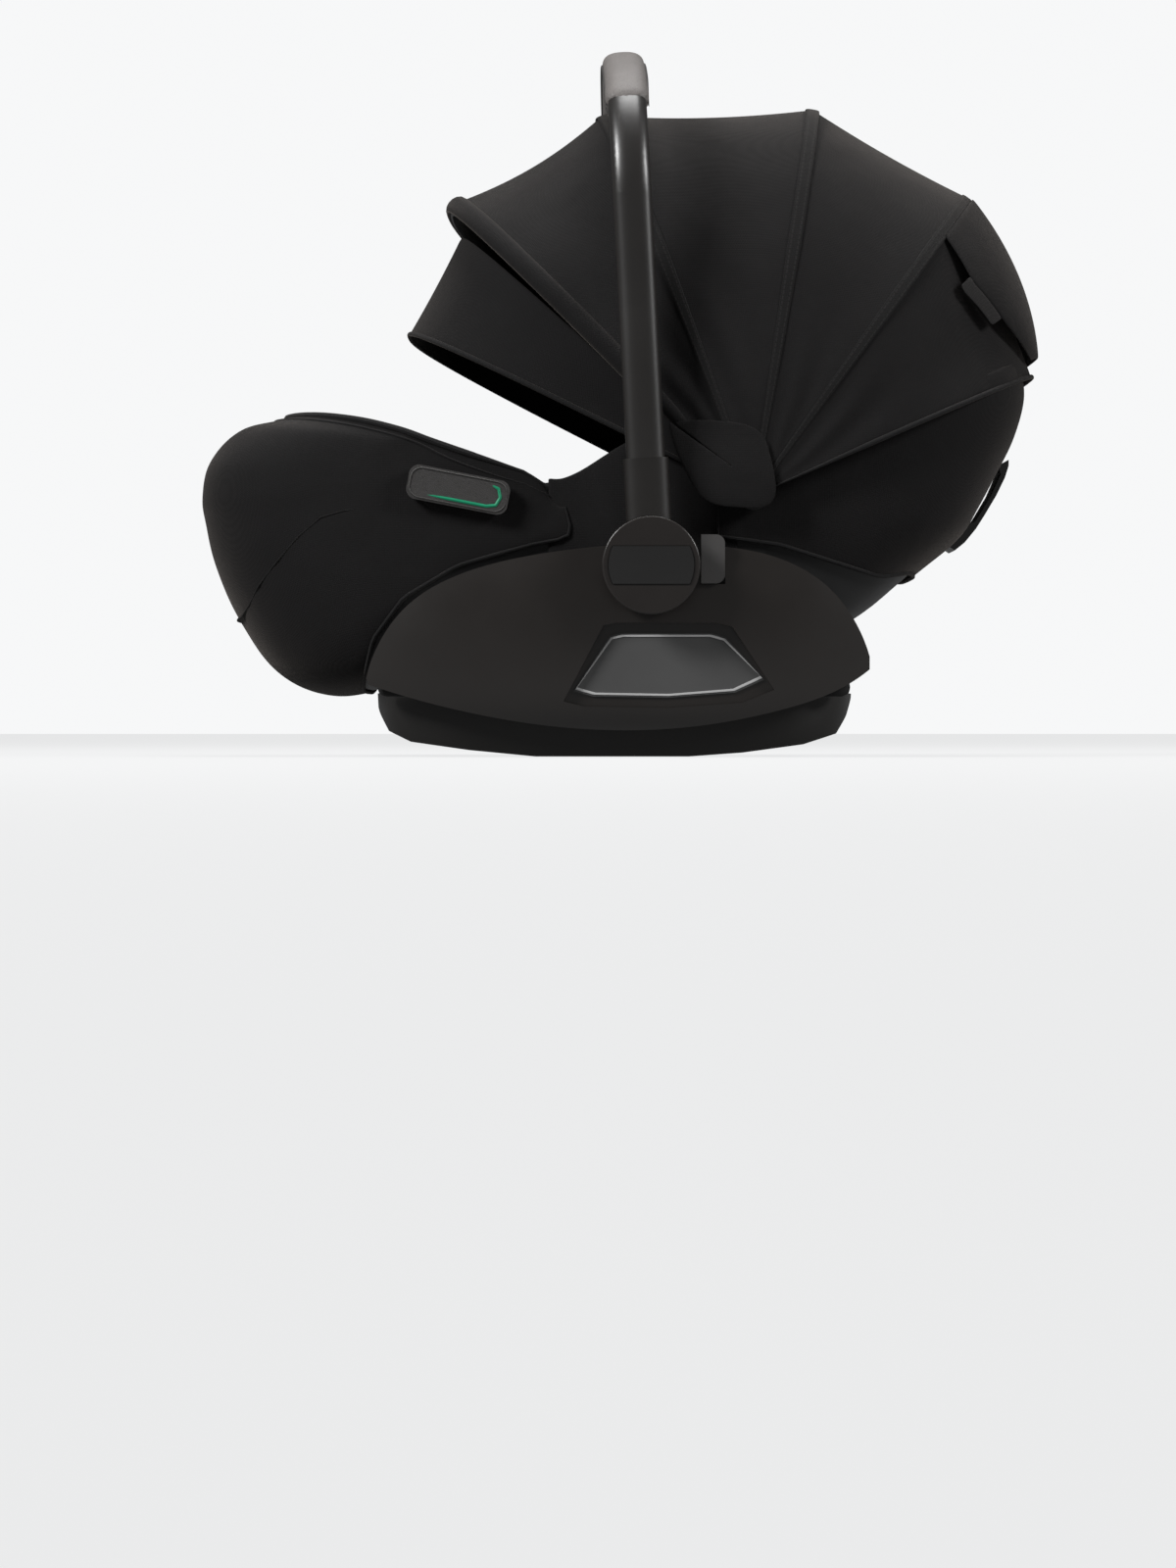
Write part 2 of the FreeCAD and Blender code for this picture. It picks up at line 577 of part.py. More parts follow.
def canopy_panel(first, last, half_width=CANOPY_HALF_WIDTH, thick=FABRIC, foot=0.075):
    """Fabric stretched from one frame to the next."""
    return Part.makeLoft([crescent(*frame, half_width, thick, foot) for frame in (first, last)], True, True)


def bow(angle, reach, half_width, foot=0.025):
    """A flat spring bow with an eye at each end."""
    face = Part.Face(crescent(angle, reach, half_width, BOW_THICK, foot))
    a = math.radians(angle)
    across = Vector(-math.sin(a), 0, math.cos(a)) * BOW_WIDE
    face.translate(across * -0.5)
    solid = outward(face.extrude(across))
    for side in (-1, 1):
        y0, y1 = sorted((side * half_width, side * (half_width - BOW_THICK)))
        solid = solid.fuse(cross_cylinder(EYE_RADIUS, y0, y1, CANOPY_X, CANOPY_Z))
    solid = solid.cut(cross_cylinder(CANOPY_PIN_RADIUS + PIN_GAP, -FAR, FAR, CANOPY_X, CANOPY_Z))
    return largest(solid.removeSplitter())


def build_canopy():
    legs = {}
    half = CANOPY_HALF_WIDTH - FABRIC - GAP
    for name in ("front", "second", "third", "rear"):
        legs[name] = half
        half -= BOW_STEP
    for name, (angle, reach) in FRAMES.items():
        keep("canopy_bow_" + name, bow(angle, reach - FABRIC - BOW_SINK, legs[name]))
    order = ["front", "second", "third", "rear"]
    for name, (front, rear) in zip(("front", "top", "back"), zip(order, order[1:])):
        keep("canopy_panel_" + name, canopy_panel(FRAMES[front], FRAMES[rear]))
    keep("canopy_panel_rear", canopy_panel(FRAMES["rear"], HEM))
    visor_half = half + BOW_STEP - BOW_THICK - 2 * GAP
    visor = canopy_panel(*VISOR, visor_half, BOW_THICK, 0.03)
    for side in (-1, 1):
        y0, y1 = sorted((side * visor_half, side * (visor_half - BOW_THICK)))
        visor = visor.fuse(cross_cylinder(EYE_RADIUS, y0, y1, CANOPY_X, CANOPY_Z))
    visor = visor.cut(cross_cylinder(CANOPY_PIN_RADIUS + PIN_GAP, -FAR, FAR, CANOPY_X, CANOPY_Z))
    keep("visor", largest(visor))

    outer_y = -(CANOPY_HALF_WIDTH + 3.2)
    pin = cross_cylinder(CANOPY_PIN_RADIUS, outer_y + 1.6, 22 - BUCKET_HALF_WIDTH, CANOPY_X, CANOPY_Z)
    head = cross_cylinder(9, outer_y, outer_y + 2.8, CANOPY_X, CANOPY_Z)
    keep_both("canopy_pins", pin.fuse(head))


# ---------------------------------------------------------------- handle
def handle_wire(start_r, middle_reach):
    """The tube's middle line: up one side, round a corner, over a shallow arch and down again."""
    half = -HANDLE_Y
    # The top arc's centre lies on the mid plane; the corner arc touches it and the straight leg.
    top_centre = middle_reach - ARCH_RADIUS
    corner_y = half - CORNER_RADIUS
    corner_r = top_centre + math.sqrt((ARCH_RADIUS - CORNER_RADIUS) ** 2 - corner_y ** 2)
    lean = math.atan2(corner_y, corner_r - top_centre)

    def at(y, r):
        return Vector(HUB_X, y, HUB_Z + r)

    touch = (corner_y + CORNER_RADIUS * math.sin(lean), corner_r + CORNER_RADIUS * math.cos(lean))
    mid = (math.pi / 2 - lean) / 2
    half_way = (corner_y + CORNER_RADIUS * math.cos(mid), corner_r + CORNER_RADIUS * math.sin(mid))
    leg_left = Part.makeLine(at(-half, start_r), at(-half, corner_r))
    mid_left = at(-half_way[0], half_way[1])
    bend_left = Part.Arc(at(-half, corner_r), mid_left, at(-touch[0], touch[1])).toShape()
    top = Part.Arc(at(-touch[0], touch[1]), at(0, middle_reach), at(touch[0], touch[1])).toShape()
    bend_right = Part.Arc(at(touch[0], touch[1]), at(half_way[0], half_way[1]), at(half, corner_r)).toShape()
    leg_right = Part.makeLine(at(half, corner_r), at(half, start_r))
    return leg_left, bend_left, top, bend_right, leg_right


def oval(at, wide, deep):
    """A rounded-oval section across an upright leg at a point."""
    ring = []
    for k in range(16):
        a = 2 * math.pi * k / 16
        c, s = math.cos(a), math.sin(a)
        ring.append(at + Vector(
            wide / 2 * math.copysign(abs(c) ** 0.8, c), deep / 2 * math.copysign(abs(s) ** 0.8, s), 0
        ))
    return smooth_loop(ring)


def swept(edges, start, wide, deep):
    return Part.Wire(edges).makePipeShell([oval(start, wide, deep)], True, True)


def lean(shape):
    return turned(shape, HUB_X, HUB_Z, -HANDLE_LEAN)


def build_handle():
    middle_reach = HANDLE_REACH - TUBE_DEEP / 2 - GRIP_SKIN
    tube_foot = COLLAR_TOP - COLLAR_DEPTH
    leg_left, bend_left, top, bend_right, leg_right = handle_wire(tube_foot, middle_reach)
    start = Vector(HUB_X, HANDLE_Y, HUB_Z + tube_foot)
    tube = swept([leg_left, bend_left, top, bend_right, leg_right], start, TUBE_WIDE, TUBE_DEEP)
    drop = Vector(0, 0, GRIP_DROP)
    bend_start = leg_left.Vertexes[-1].Point
    bend_end = leg_right.Vertexes[0].Point
    low = bend_start - drop
    leg_ends = Part.makeLine(low, bend_start), Part.makeLine(bend_end, bend_end - drop)
    grip_path = [leg_ends[0], bend_left, top, bend_right, leg_ends[1]]
    skin, depth = TUBE_WIDE + 2 * GRIP_SKIN, TUBE_DEEP + 2 * GRIP_SKIN
    grip = swept(grip_path, low, skin, depth).cut(tube)
    keep("handle_grip", lean(largest(grip)))

    collar = swept([Part.makeLine(start - Vector(0, 0, 18), Vector(HUB_X, HANDLE_Y, HUB_Z + COLLAR_TOP))],
                   start - Vector(0, 0, 18), TUBE_WIDE + 5, TUBE_DEEP + 1.6)
    knuckle = cross_cylinder(HUB_RADIUS - 1.5, -CAP_Y, -HUB_INNER_Y, HUB_X, HUB_Z).fuse(collar).cut(tube)
    knuckle = knuckle.cut(cross_cylinder(PIVOT_RADIUS + PIN_GAP, -CHAMBER_Y, -HUB_INNER_Y, HUB_X, HUB_Z))
    knuckle = knuckle.cut(cross_cylinder(CHAMBER_RADIUS, -CAP_Y - 1, -CHAMBER_Y, HUB_X, HUB_Z))
    knuckle = knuckle.cut(cross_cylinder(HUB_RADIUS + GAP, -FAR, -CAP_Y, HUB_X, HUB_Z))
    band = box(HUB_X - 60, HUB_X + 60, -FAR, -100, HUB_Z - BUTTON_BAND / 2, HUB_Z + BUTTON_BAND / 2)
    band = band.common(cross_cylinder(HUB_RADIUS - 4.5, -FAR, -CAP_Y + BUTTON_TRAVEL + 0.8, HUB_X, HUB_Z))
    knuckle = knuckle.cut(turned(band, HUB_X, HUB_Z, HANDLE_LEAN))
    keep_pair("handle_knuckle", lean(largest(knuckle)))
    keep("handle_tube", lean(largest(tube)))

    ring = cross_cylinder(HUB_RADIUS, -HUB_OUTER_Y, -CAP_Y, HUB_X, HUB_Z).cut(band)
    ring = rounded(ring, 1.5, lambda e: e.BoundBox.XLength > 2 * HUB_RADIUS - 1
                   and e.BoundBox.YMin < -HUB_OUTER_Y + 0.1)
    keep_pair("hub_cap", ring)
    half = BUTTON_BAND / 2 - SLIDE_GAP
    button = box(HUB_X - 60, HUB_X + 60, -HUB_OUTER_Y - 1, -CAP_Y + GAP, HUB_Z - half, HUB_Z + half)
    button = button.common(cross_cylinder(HUB_RADIUS - 4.5 - SLIDE_GAP, -FAR, -HUB_INNER_Y, HUB_X, HUB_Z))
    flange = cross_cylinder(CHAMBER_RADIUS - 4, -CAP_Y + GAP, -BUTTON_BACK_Y, HUB_X, HUB_Z)
    keep_pair("hub_button", button.fuse(flange).removeSplitter())

    plate_outer, plate_inner = SIDE_PLATE_Y
    bolt = cross_cylinder(PIVOT_RADIUS, -CHAMBER_Y - 1, plate_inner + 1, HUB_X, HUB_Z)
    head_y = BUTTON_TRAVEL + GAP - BUTTON_BACK_Y
    bolt = bolt.fuse(cross_cylinder(BOLT_HEAD_RADIUS, head_y, -CHAMBER_Y - GAP, HUB_X, HUB_Z))
    nut = cross_cylinder(BOLT_HEAD_RADIUS, plate_inner + GAP, plate_inner + GAP + 2, HUB_X, HUB_Z)
    keep_both("pivot_bolts", bolt.fuse(nut))
    bore = cross_cylinder(PIVOT_RADIUS + 0.02, -FAR, -100, HUB_X, HUB_Z)
    detent = cross_cylinder(DETENT_RADIUS, plate_outer - 4.4, plate_outer - GAP, HUB_X, HUB_Z).cut(bore)
    for k in range(DETENT_TEETH):
        a = 2 * math.pi * k / DETENT_TEETH
        x, z = HUB_X + DETENT_RADIUS * math.cos(a), HUB_Z + DETENT_RADIUS * math.sin(a)
        detent = detent.cut(cross_cylinder(2.0, -FAR, -100, x, z))
    keep_both("detent_rings", detent)
    spring = coil(HUB_X, HUB_Z, 18.0, CHAMBER_Y + 0.5, BUTTON_BACK_Y - 0.5, 3, 0.42)
    keep_springs("button_spring", spring, HUB_X)


# ---------------------------------------------------------------- harness, headrest and small soft parts
def on_back(along, lift):
    """A point in side view, so far up the backrest and so far out from the pad."""
    ux, uz = BACK_DIR
    return BACK_FOOT[0] + ux * along - uz * lift, BACK_FOOT[1] + uz * along + ux * lift


def back_slab(along0, along1, lift0, lift1, y0, y1):
    outline = [on_back(along0, lift0), on_back(along1, lift0), on_back(along1, lift1), on_back(along0, lift1)]
    return side_prism(outline, y0, y1)


def build_headrest():
    board = back_slab(20, 126, 1.2, 4.7, -82, 82)
    for side in (-1, 1):
        middle = side * SHOULDER_Y
        y0, y1 = middle - WEBBING_WIDE / 2 - 2, middle + WEBBING_WIDE / 2 + 2
        board = board.cut(back_slab(30.5, 38, 0, 20, y0, y1))
    keep("headrest_board", board)
    middle = back_slab(44, 126, 5.5, 22, -88, 88)
    wings = [back_slab(50, 122, 9.0, 60, *sorted((side * 86, side * 111))) for side in (-1, 1)]
    pad = middle.fuse(wings[0]).fuse(wings[1]).removeSplitter()
    pad = rounded(pad, 8.0, lambda e: e.BoundBox.YLength < 0.1 and e.Length > 50
                  and abs(e.BoundBox.YMin) > 100)
    keep("headrest_pad", pad)


def strap(stations, width, thick):
    """Webbing through (x, y, z) stations; its width lies across the seat."""
    wires = []
    for k, (x, y, z) in enumerate(stations):
        before, after = stations[max(k - 1, 0)], stations[min(k + 1, len(stations) - 1)]
        dx, dz = after[0] - before[0], after[2] - before[2]
        length = math.hypot(dx, dz)
        nx, nz = -dz / length * thick, dx / length * thick
        if nz < 0:
            nx, nz = -nx, -nz
        corners = [Vector(x, y - width / 2, z), Vector(x, y + width / 2, z),
                   Vector(x + nx, y + width / 2, z + nz), Vector(x + nx, y - width / 2, z + nz)]
        wires.append(Part.makePolygon(corners + corners[:1]))
    return Part.makeLoft(wires, True, True)


def pad_top(x, y=0.0):
    """Height of the seat pad's face at a place."""
    return Part.makeLine(Vector(x, y, 60), Vector(x, y, 330)).common(PARTS["seat_pad"]).BoundBox.ZMax


def build_harness():
    """Five-point harness: two shoulder straps, two lap straps, a crotch strap, tongues and buckle."""
    end_x = BUCKLE_X[1] + 27.0
    path = [(*on_back(35.2, 1.4), -SHOULDER_Y), (*on_back(35.0, 4.8), -SHOULDER_Y),
            (*on_back(31.0, 10.6), -SHOULDER_Y), (*on_back(-55.0, 12.0), -42.0),
            (end_x + 9, TONGUE_Z[1] + 10, -32.0), (end_x, TONGUE_Z[1] + GAP, -21.0)]
    keep_both("shoulder_straps", strap([(x, y, z) for x, z, y in path], WEBBING_WIDE, WEBBING_THICK))
    sleeve = [(*on_back(along, lift), y)
              for along, lift, y in ((18.0, 12.8, -45.6), (-15.0, 13.6, -44.0), (-48.0, 14.1, -42.4))]
    keep_both("shoulder_pads", strap([(x, y, z) for x, z, y in sleeve], WEBBING_WIDE + 12, 7.0))
    tongue = box(BUCKLE_X[1] - 12, BUCKLE_X[1] + 24, -33, -9, *TONGUE_Z)
    tongue = rounded(tongue, 4.0, lambda e: e.BoundBox.ZLength > 2 and e.BoundBox.XMin > BUCKLE_X[1])
    keep_both("buckle_tongues", tongue.cut(box(BUCKLE_X[1] + 13, BUCKLE_X[1] + 18, -30, -12, 110, 130)))
    wires = []
    lap_path = (
        (85.0, -33.4, TONGUE_Z[0]), (87.0, -80.0, pad_top(100, -80) + 1),
        (86.0, -122.0, pad_top(99, -122) + 1),
    )
    for x, y, z in lap_path:
        section = ((-13, 0), (13, 0), (13, WEBBING_THICK), (-13, WEBBING_THICK))
        corners = [Vector(x + u, y, z + v) for u, v in section]
        wires.append(Part.makePolygon(corners + corners[:1]))
    keep_both("lap_straps", Part.makeLoft(wires, True, True))

    body = box(*BUCKLE_X, -BUCKLE_HALF, BUCKLE_HALF, *BUCKLE_Z)
    body = rounded(body, 6.0, lambda e: e.BoundBox.ZLength > 10)
    well_x = (BUCKLE_X[0] + 8, BUCKLE_X[0] + 34)
    body = body.cut(box(*well_x, -WELL_HALF, WELL_HALF, BUCKLE_Z[1] - 5 - BUCKLE_TRAVEL, BUCKLE_Z[1] + 5))
    for side in (-1, 1):
        y0, y1 = sorted((side * 8.6, side * (BUCKLE_HALF + 10)))
        slot_z = (TONGUE_Z[0] - SLIDE_GAP, TONGUE_Z[1] + SLIDE_GAP)
        body = body.cut(box(BUCKLE_X[1] - 12 - SLIDE_GAP, BUCKLE_X[1] + 5, y0, y1, *slot_z))
    keep("buckle_body", largest(body))
    red = box(well_x[0] + SLIDE_GAP, well_x[1] - SLIDE_GAP, SLIDE_GAP - WELL_HALF, WELL_HALF - SLIDE_GAP,
              BUCKLE_Z[1] - 4.5, BUCKLE_Z[1] + 1.0)
    keep("buckle_button", rounded(red, 1.2, lambda e: e.BoundBox.ZMin > BUCKLE_Z[1] + 0.9))
    under = [(x, 0.0, pad_top(x) + GAP) for x in (BUCKLE_X[0] - 6, 30.0, BUCKLE_X[1] + 6)]
    keep("buckle_pad", strap(under, 66.0, 3.0))
    keep("crotch_strap", strap([
        (BUCKLE_X[0] - 40, 0.0, pad_top(BUCKLE_X[0] - 40) + GAP), (BUCKLE_X[0] - 18, 0.0, BUCKLE_Z[0] + 3.0),
        (BUCKLE_X[0] - GAP, 0.0, BUCKLE_Z[0] + 5.0),
    ], WEBBING_WIDE, WEBBING_THICK))

    x0, x1 = ADJUSTER_X
    z0, z1 = pad_top(x0), pad_top(x1)
    slope = math.degrees(math.atan2(z1 - z0, x1 - x0))
    lift = 7.0 / math.cos(math.radians(slope))
    mx, mz = (x0 + x1) / 2, (z0 + z1) / 2 + lift
    housing = side_prism(rotated_slot(mx, mz, 46, 12, slope), -24, 24)
    housing = housing.cut(side_prism(rotated_slot(mx + 1.5, mz + 4, 26, 12, slope), -15, 15))
    keep("adjuster_housing", largest(housing))
    key = rotated_slot(mx + 1.6, mz + 4.2, 26 - 2 * SLIDE_GAP, 6, slope)
    keep("adjuster_button", side_prism(key, SLIDE_GAP - 15, 15 - SLIDE_GAP))
    rises = ((x0 - 1.2, 3.0), (x0 - 20, 1.2), (x0 - 50, GAP + 0.3))
    tail = [(x, 0.0, pad_top(x) + rise) for x, rise in rises]
    keep("adjuster_strap", strap(tail, 26.0, WEBBING_THICK))


def build_vent_flap():
    """A loose flap over the vent in the canopy's rear panel."""
    keep("vent_flap", canopy_panel(*FLAP, CANOPY_HALF_WIDTH + FABRIC, FLAP_THICK, FLAP_FOOT))


def main():
    build_tray()
    build_fairings()
    build_latch()
    build_rails()
    build_side_plates()
    build_bumpers()
    build_bucket()
    build_belt_hooks()
    build_belt_guide()
    build_canopy()
    build_handle()
    build_headrest()
    build_harness()
    build_vent_flap()
    os.makedirs("parts", exist_ok=True)
    for name, shape in PARTS.items():
        shape.exportStep("parts/%s.step" % name)
        bounds = shape.BoundBox
        spans = (bounds.XMin, bounds.XMax, bounds.YMin, bounds.YMax, bounds.ZMin, bounds.ZMax)
        count = len(shape.Solids)
        print("%-20s %d solids, valid %s, %.0f mm3" % (name, count, shape.isValid(), shape.Volume))
        print("   x %.1f..%.1f  y %.1f..%.1f  z %.1f..%.1f" % spans)


main()
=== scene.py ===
import math
import bpy
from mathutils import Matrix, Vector


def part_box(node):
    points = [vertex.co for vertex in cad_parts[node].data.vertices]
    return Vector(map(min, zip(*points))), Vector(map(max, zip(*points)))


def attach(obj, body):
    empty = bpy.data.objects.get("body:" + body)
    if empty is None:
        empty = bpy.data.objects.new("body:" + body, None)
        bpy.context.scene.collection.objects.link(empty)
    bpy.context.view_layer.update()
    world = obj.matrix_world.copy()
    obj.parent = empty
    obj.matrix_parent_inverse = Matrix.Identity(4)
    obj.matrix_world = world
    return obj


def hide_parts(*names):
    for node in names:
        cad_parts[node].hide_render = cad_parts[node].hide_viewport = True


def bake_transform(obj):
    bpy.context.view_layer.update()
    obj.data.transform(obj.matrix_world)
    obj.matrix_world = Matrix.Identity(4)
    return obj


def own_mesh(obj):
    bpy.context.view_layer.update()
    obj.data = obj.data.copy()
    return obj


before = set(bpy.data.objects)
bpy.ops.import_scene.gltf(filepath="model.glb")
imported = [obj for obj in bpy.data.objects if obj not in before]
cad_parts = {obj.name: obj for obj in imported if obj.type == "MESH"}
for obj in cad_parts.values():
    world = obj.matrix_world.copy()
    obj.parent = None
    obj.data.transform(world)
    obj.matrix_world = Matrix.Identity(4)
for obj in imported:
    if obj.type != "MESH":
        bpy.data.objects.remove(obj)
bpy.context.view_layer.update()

bpy.ops.object.select_all(action="DESELECT")


# ---- Helpers ---------------------------------------------
MERGE = 0.00001  # corners closer than this are one corner
ARCH_POINTS = 121  # points along each arch of the hood
ACROSS = Vector((0, 1, 0))
UPRIGHT = Vector((0.01, 0.02, 1)).normalized()


def add(name, data):
    """A new object with this data, linked into the scene."""
    made = bpy.data.objects.new(name, data)
    bpy.context.scene.collection.objects.link(made)
    return made


def add_mesh(name, corners, faces, material):
    """A new object with a mesh of these corners and faces."""
    mesh = bpy.data.meshes.new(name)
    mesh.from_pydata(corners, [], faces)
    mesh.materials.append(material)
    return add(name, mesh)


def pick(piece):
    """Makes the piece the only one selected, and the active one."""
    bpy.ops.object.select_all(action="DESELECT")
    piece.select_set(True)
    bpy.context.view_layer.objects.active = piece


def apply(piece, kind, **settings):
    """Applies a modifier of this kind to the active piece."""
    step = piece.modifiers.new(kind.lower(), kind)
    for key, value in settings.items():
        setattr(step, key, value)
    bpy.ops.object.modifier_apply(modifier=step.name)


def clean(piece):
    """Merges double corners and turns the faces outwards."""
    pick(piece)
    bpy.ops.object.mode_set(mode="EDIT")
    bpy.ops.mesh.select_all(action="SELECT")
    bpy.ops.mesh.remove_doubles(threshold=MERGE)
    bpy.ops.mesh.normals_make_consistent(inside=False)
    bpy.ops.object.mode_set(mode="OBJECT")


def settle(piece, bevel=0.0, levels=0):
    """Cleans a piece, eases its edges, subdivides it and shades it smooth."""
    clean(piece)
    if bevel:
        apply(piece, "BEVEL", width=bevel, segments=2)
    if levels:
        apply(piece, "SUBSURF", levels=levels, render_levels=levels)
    bpy.ops.object.shade_smooth_by_angle(angle=math.radians(40))
    piece.select_set(False)


def measured(line):
    """How far along a line each of its points is."""
    far = [0.0]
    for a, b in zip(line, line[1:]):
        far.append(far[-1] + (b - a).length)
    return far


def evenly(line, count):
    """Evenly spaced points along a line."""
    far = measured(line)
    out, k = [], 0
    for n in range(count):
        want = far[-1] * n / (count - 1)
        while k < len(far) - 2 and far[k + 1] < want:
            k += 1
        share = (want - far[k]) / max(far[k + 1] - far[k], 1e-9)
        out.append(line[k].lerp(line[k + 1], min(max(share, 0), 1)))
    return out


def metres(points):
    """Points given in millimetres."""
    return [Vector(p) * 0.001 for p in points]


def new_material(name):
    """A new material, its node tree and its main shader."""
    material = bpy.data.materials.new(name)
    material.use_nodes = True
    return material, material.node_tree, material.node_tree.nodes["Principled BSDF"]


def set_inputs(made, inputs):
    for key, value in inputs.items():
        made.inputs[key].default_value = value


def make(tree, kind, inputs=None, **settings):
    """A new shader node of this kind, with these settings and input values."""
    made = tree.nodes.new("ShaderNode" + kind)
    for key, value in settings.items():
        setattr(made, key, value)
    set_inputs(made, inputs or {})
    return made


def wire(tree, *links):
    """Joins nodes. Each link is a node, its output, the next node and its input."""
    for source, output, target, key in links:
        tree.links.new(source.outputs[output], target.inputs[key])


def tint(colour, by=1.0):
    return (*[c * by for c in colour], 1)


def finish_nodes(material, *names):
    """Gives these CAD pieces their material."""
    for name in names:
        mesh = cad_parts[name].data
        mesh.materials.clear()
        mesh.materials.append(material)


# ---- Camera ----------------------------------------------
# A long lens four metres to the child's left, just above the floor and tipped down by a
# fraction of a degree.
camera_data = bpy.data.cameras.new("camera")
camera_data.lens = 112.5
camera_data.sensor_width = 36.0
camera_data.clip_end = 100.0
camera = add("camera", camera_data)
camera.location = (-0.0288, -4.0, 0.020)
camera.rotation_euler = (math.radians(90 - 0.62), 0, 0)
bpy.context.scene.camera = camera

# ---- Floor and studio light ------------------------------
# A pale seamless floor and room, which the camera sees bright and the object sees dim, so that
# black cloth and satin plastic reflect only a little. A key light stands by the foot end, a
# fill light by the head end, and a broad soft light above.
PALE = (0.93, 0.935, 0.94, 1)
bpy.ops.mesh.primitive_plane_add(size=60.0, location=(0, 0, -0.0004))
floor = bpy.context.object
floor.name = "floor"
paint, tree, shader = new_material("pale_floor")
set_inputs(shader, {"Base Color": (0.07, 0.07, 0.07, 1), "Roughness": 0.9, "Specular IOR Level": 0.0})
bright = make(tree, "Emission", {"Color": PALE, "Strength": 0.84})
dim = make(tree, "Emission", {"Color": PALE, "Strength": 0.22})
seen = make(tree, "LightPath")
either = make(tree, "MixShader")
total = make(tree, "AddShader")
wire(tree, (seen, "Is Camera Ray", either, 0), (dim, 0, either, 1), (bright, 0, either, 2),
     (either, 0, total, 0), (shader, 0, total, 1), (total, 0, tree.nodes["Material Output"], "Surface"))
floor.data.materials.append(paint)

world = bpy.data.worlds.new("studio")
world.use_nodes = True
tree = world.node_tree
room = tree.nodes["Background"]
set_inputs(room, {"Color": PALE, "Strength": 0.13})
backdrop = make(tree, "Background", {"Color": PALE})
seen = make(tree, "LightPath")
choice = make(tree, "MixShader")
wire(tree, (seen, "Is Camera Ray", choice, 0), (room, 0, choice, 1), (backdrop, 0, choice, 2),
     (choice, 0, tree.nodes["World Output"], "Surface"))
bpy.context.scene.world = world
bpy.context.scene.view_settings.view_transform = "Standard"

for name, place, turn, size, power in (
    ("key", (-2.6, -1.9, 2.3), (56, 0, -54), 1.0, 150),
    ("fill", (2.9, -1.5, 1.8), (60, 0, 63), 1.0, 80),
    ("top", (0.1, 0.2, 3.2), (-4, 0, 0), 1.6, 80),
):
    lamp_data = bpy.data.lights.new(name, "AREA")
    lamp_data.size = size
    lamp_data.energy = power
    lamp = add(name, lamp_data)
    lamp.location = place
    lamp.rotation_euler = [math.radians(v) for v in turn]


# ---- Rocker tray, recline rails and side plates ----------
# The tray is one moulding in black polypropylene with a fine spark-eroded grain. The rails and
# the side plates that stand in it are glass-filled nylon, duller and a shade lighter.
def plastic(name, colour, roughness, grain=0.0006, depth=0.12, gloss=0.4):
    """A moulded plastic: its grain, and slow changes of shade and polish over the moulding."""
    material, tree, shader = new_material(name)
    set_inputs(shader, {"Specular IOR Level": gloss})
    place = make(tree, "TexCoord")
    fine = make(tree, "TexNoise", {"Scale": 1.0 / grain, "Detail": 3.0})
    slow = make(tree, "TexNoise", {"Scale": 14.0, "Detail": 4.0})
    bump = make(tree, "Bump", {"Strength": depth, "Distance": 0.0004})
    shade = make(tree, "Mix", {"A": tint(colour, 0.82), "B": tint(colour, 1.2)}, data_type="RGBA")
    polish = make(tree, "MapRange", {"To Min": roughness - 0.06, "To Max": roughness + 0.06})
    wire(tree, (place, "Object", fine, "Vector"), (place, "Object", slow, "Vector"),
         (fine, "Fac", bump, "Height"), (bump, "Normal", shader, "Normal"),
         (slow, "Fac", shade, "Factor"), (shade, "Result", shader, "Base Color"),
         (slow, "Fac", polish, "Value"), (polish, "Result", shader, "Roughness"))
    return material


tray_plastic = plastic("tray_plastic", (0.0075, 0.0068, 0.0062), 0.46, depth=0.2)
nylon = plastic("glass_filled_nylon", (0.02, 0.02, 0.021), 0.6, grain=0.0009, depth=0.25)
finish_nodes(tray_plastic, "rocker_tray")
finish_nodes(nylon, "recline_rails", "recline_runners", "side_plates", "latch_brackets", "headrest_board")

# ---- Rocker bumpers --------------------------------------
# Four black rubber pads let into the ends of the rocker so that it grips a smooth floor.
rubber = plastic("bumper_rubber", (0.011, 0.011, 0.011), 0.82, grain=0.0004, depth=0.3, gloss=0.2)
finish_nodes(rubber, "rocker_bumpers")


# ---- Steel pieces ----------------------------------------
# The latch bars are drawn steel rod. The pivot bolts, screws and tongues are plated steel,
# and the springs are music wire.
def steel(name, colour, roughness, streak):
    """Steel whose polish is broken by scratches, streak times as long along y as across it."""
    material, tree, shader = new_material(name)
    set_inputs(shader, {"Metallic": 1.0, "Base Color": tint(colour)})
    place = make(tree, "TexCoord")
    stretch = make(tree, "Mapping", {"Scale": (1.0, 1.0 / streak, 1.0)})
    scratches = make(tree, "TexNoise", {"Scale": 900.0})
    polish = make(tree, "MapRange", {"To Min": roughness - 0.08, "To Max": roughness + 0.12})
    bump = make(tree, "Bump", {"Strength": 0.08, "Distance": 0.0002})
    wire(tree, (place, "Object", stretch, "Vector"), (stretch, "Vector", scratches, "Vector"),
         (scratches, "Fac", polish, "Value"), (scratches, "Fac", bump, "Height"),
         (polish, "Result", shader, "Roughness"), (bump, "Normal", shader, "Normal"))
    return material


drawn_steel = steel("drawn_steel", (0.42, 0.42, 0.43), 0.3, 12.0)
plated_steel = steel("plated_steel", (0.5, 0.5, 0.5), 0.26, 1.0)
music_wire = steel("music_wire", (0.3, 0.3, 0.31), 0.34, 1.0)
finish_nodes(drawn_steel, "front_latch_bar", "rear_latch_bar")
finish_nodes(plated_steel, "pivot_bolts", "fairing_screws", "buckle_tongues", "detent_rings")
finish_nodes(music_wire, "button_spring_left", "button_spring_right",
             "release_spring_left", "release_spring_right")

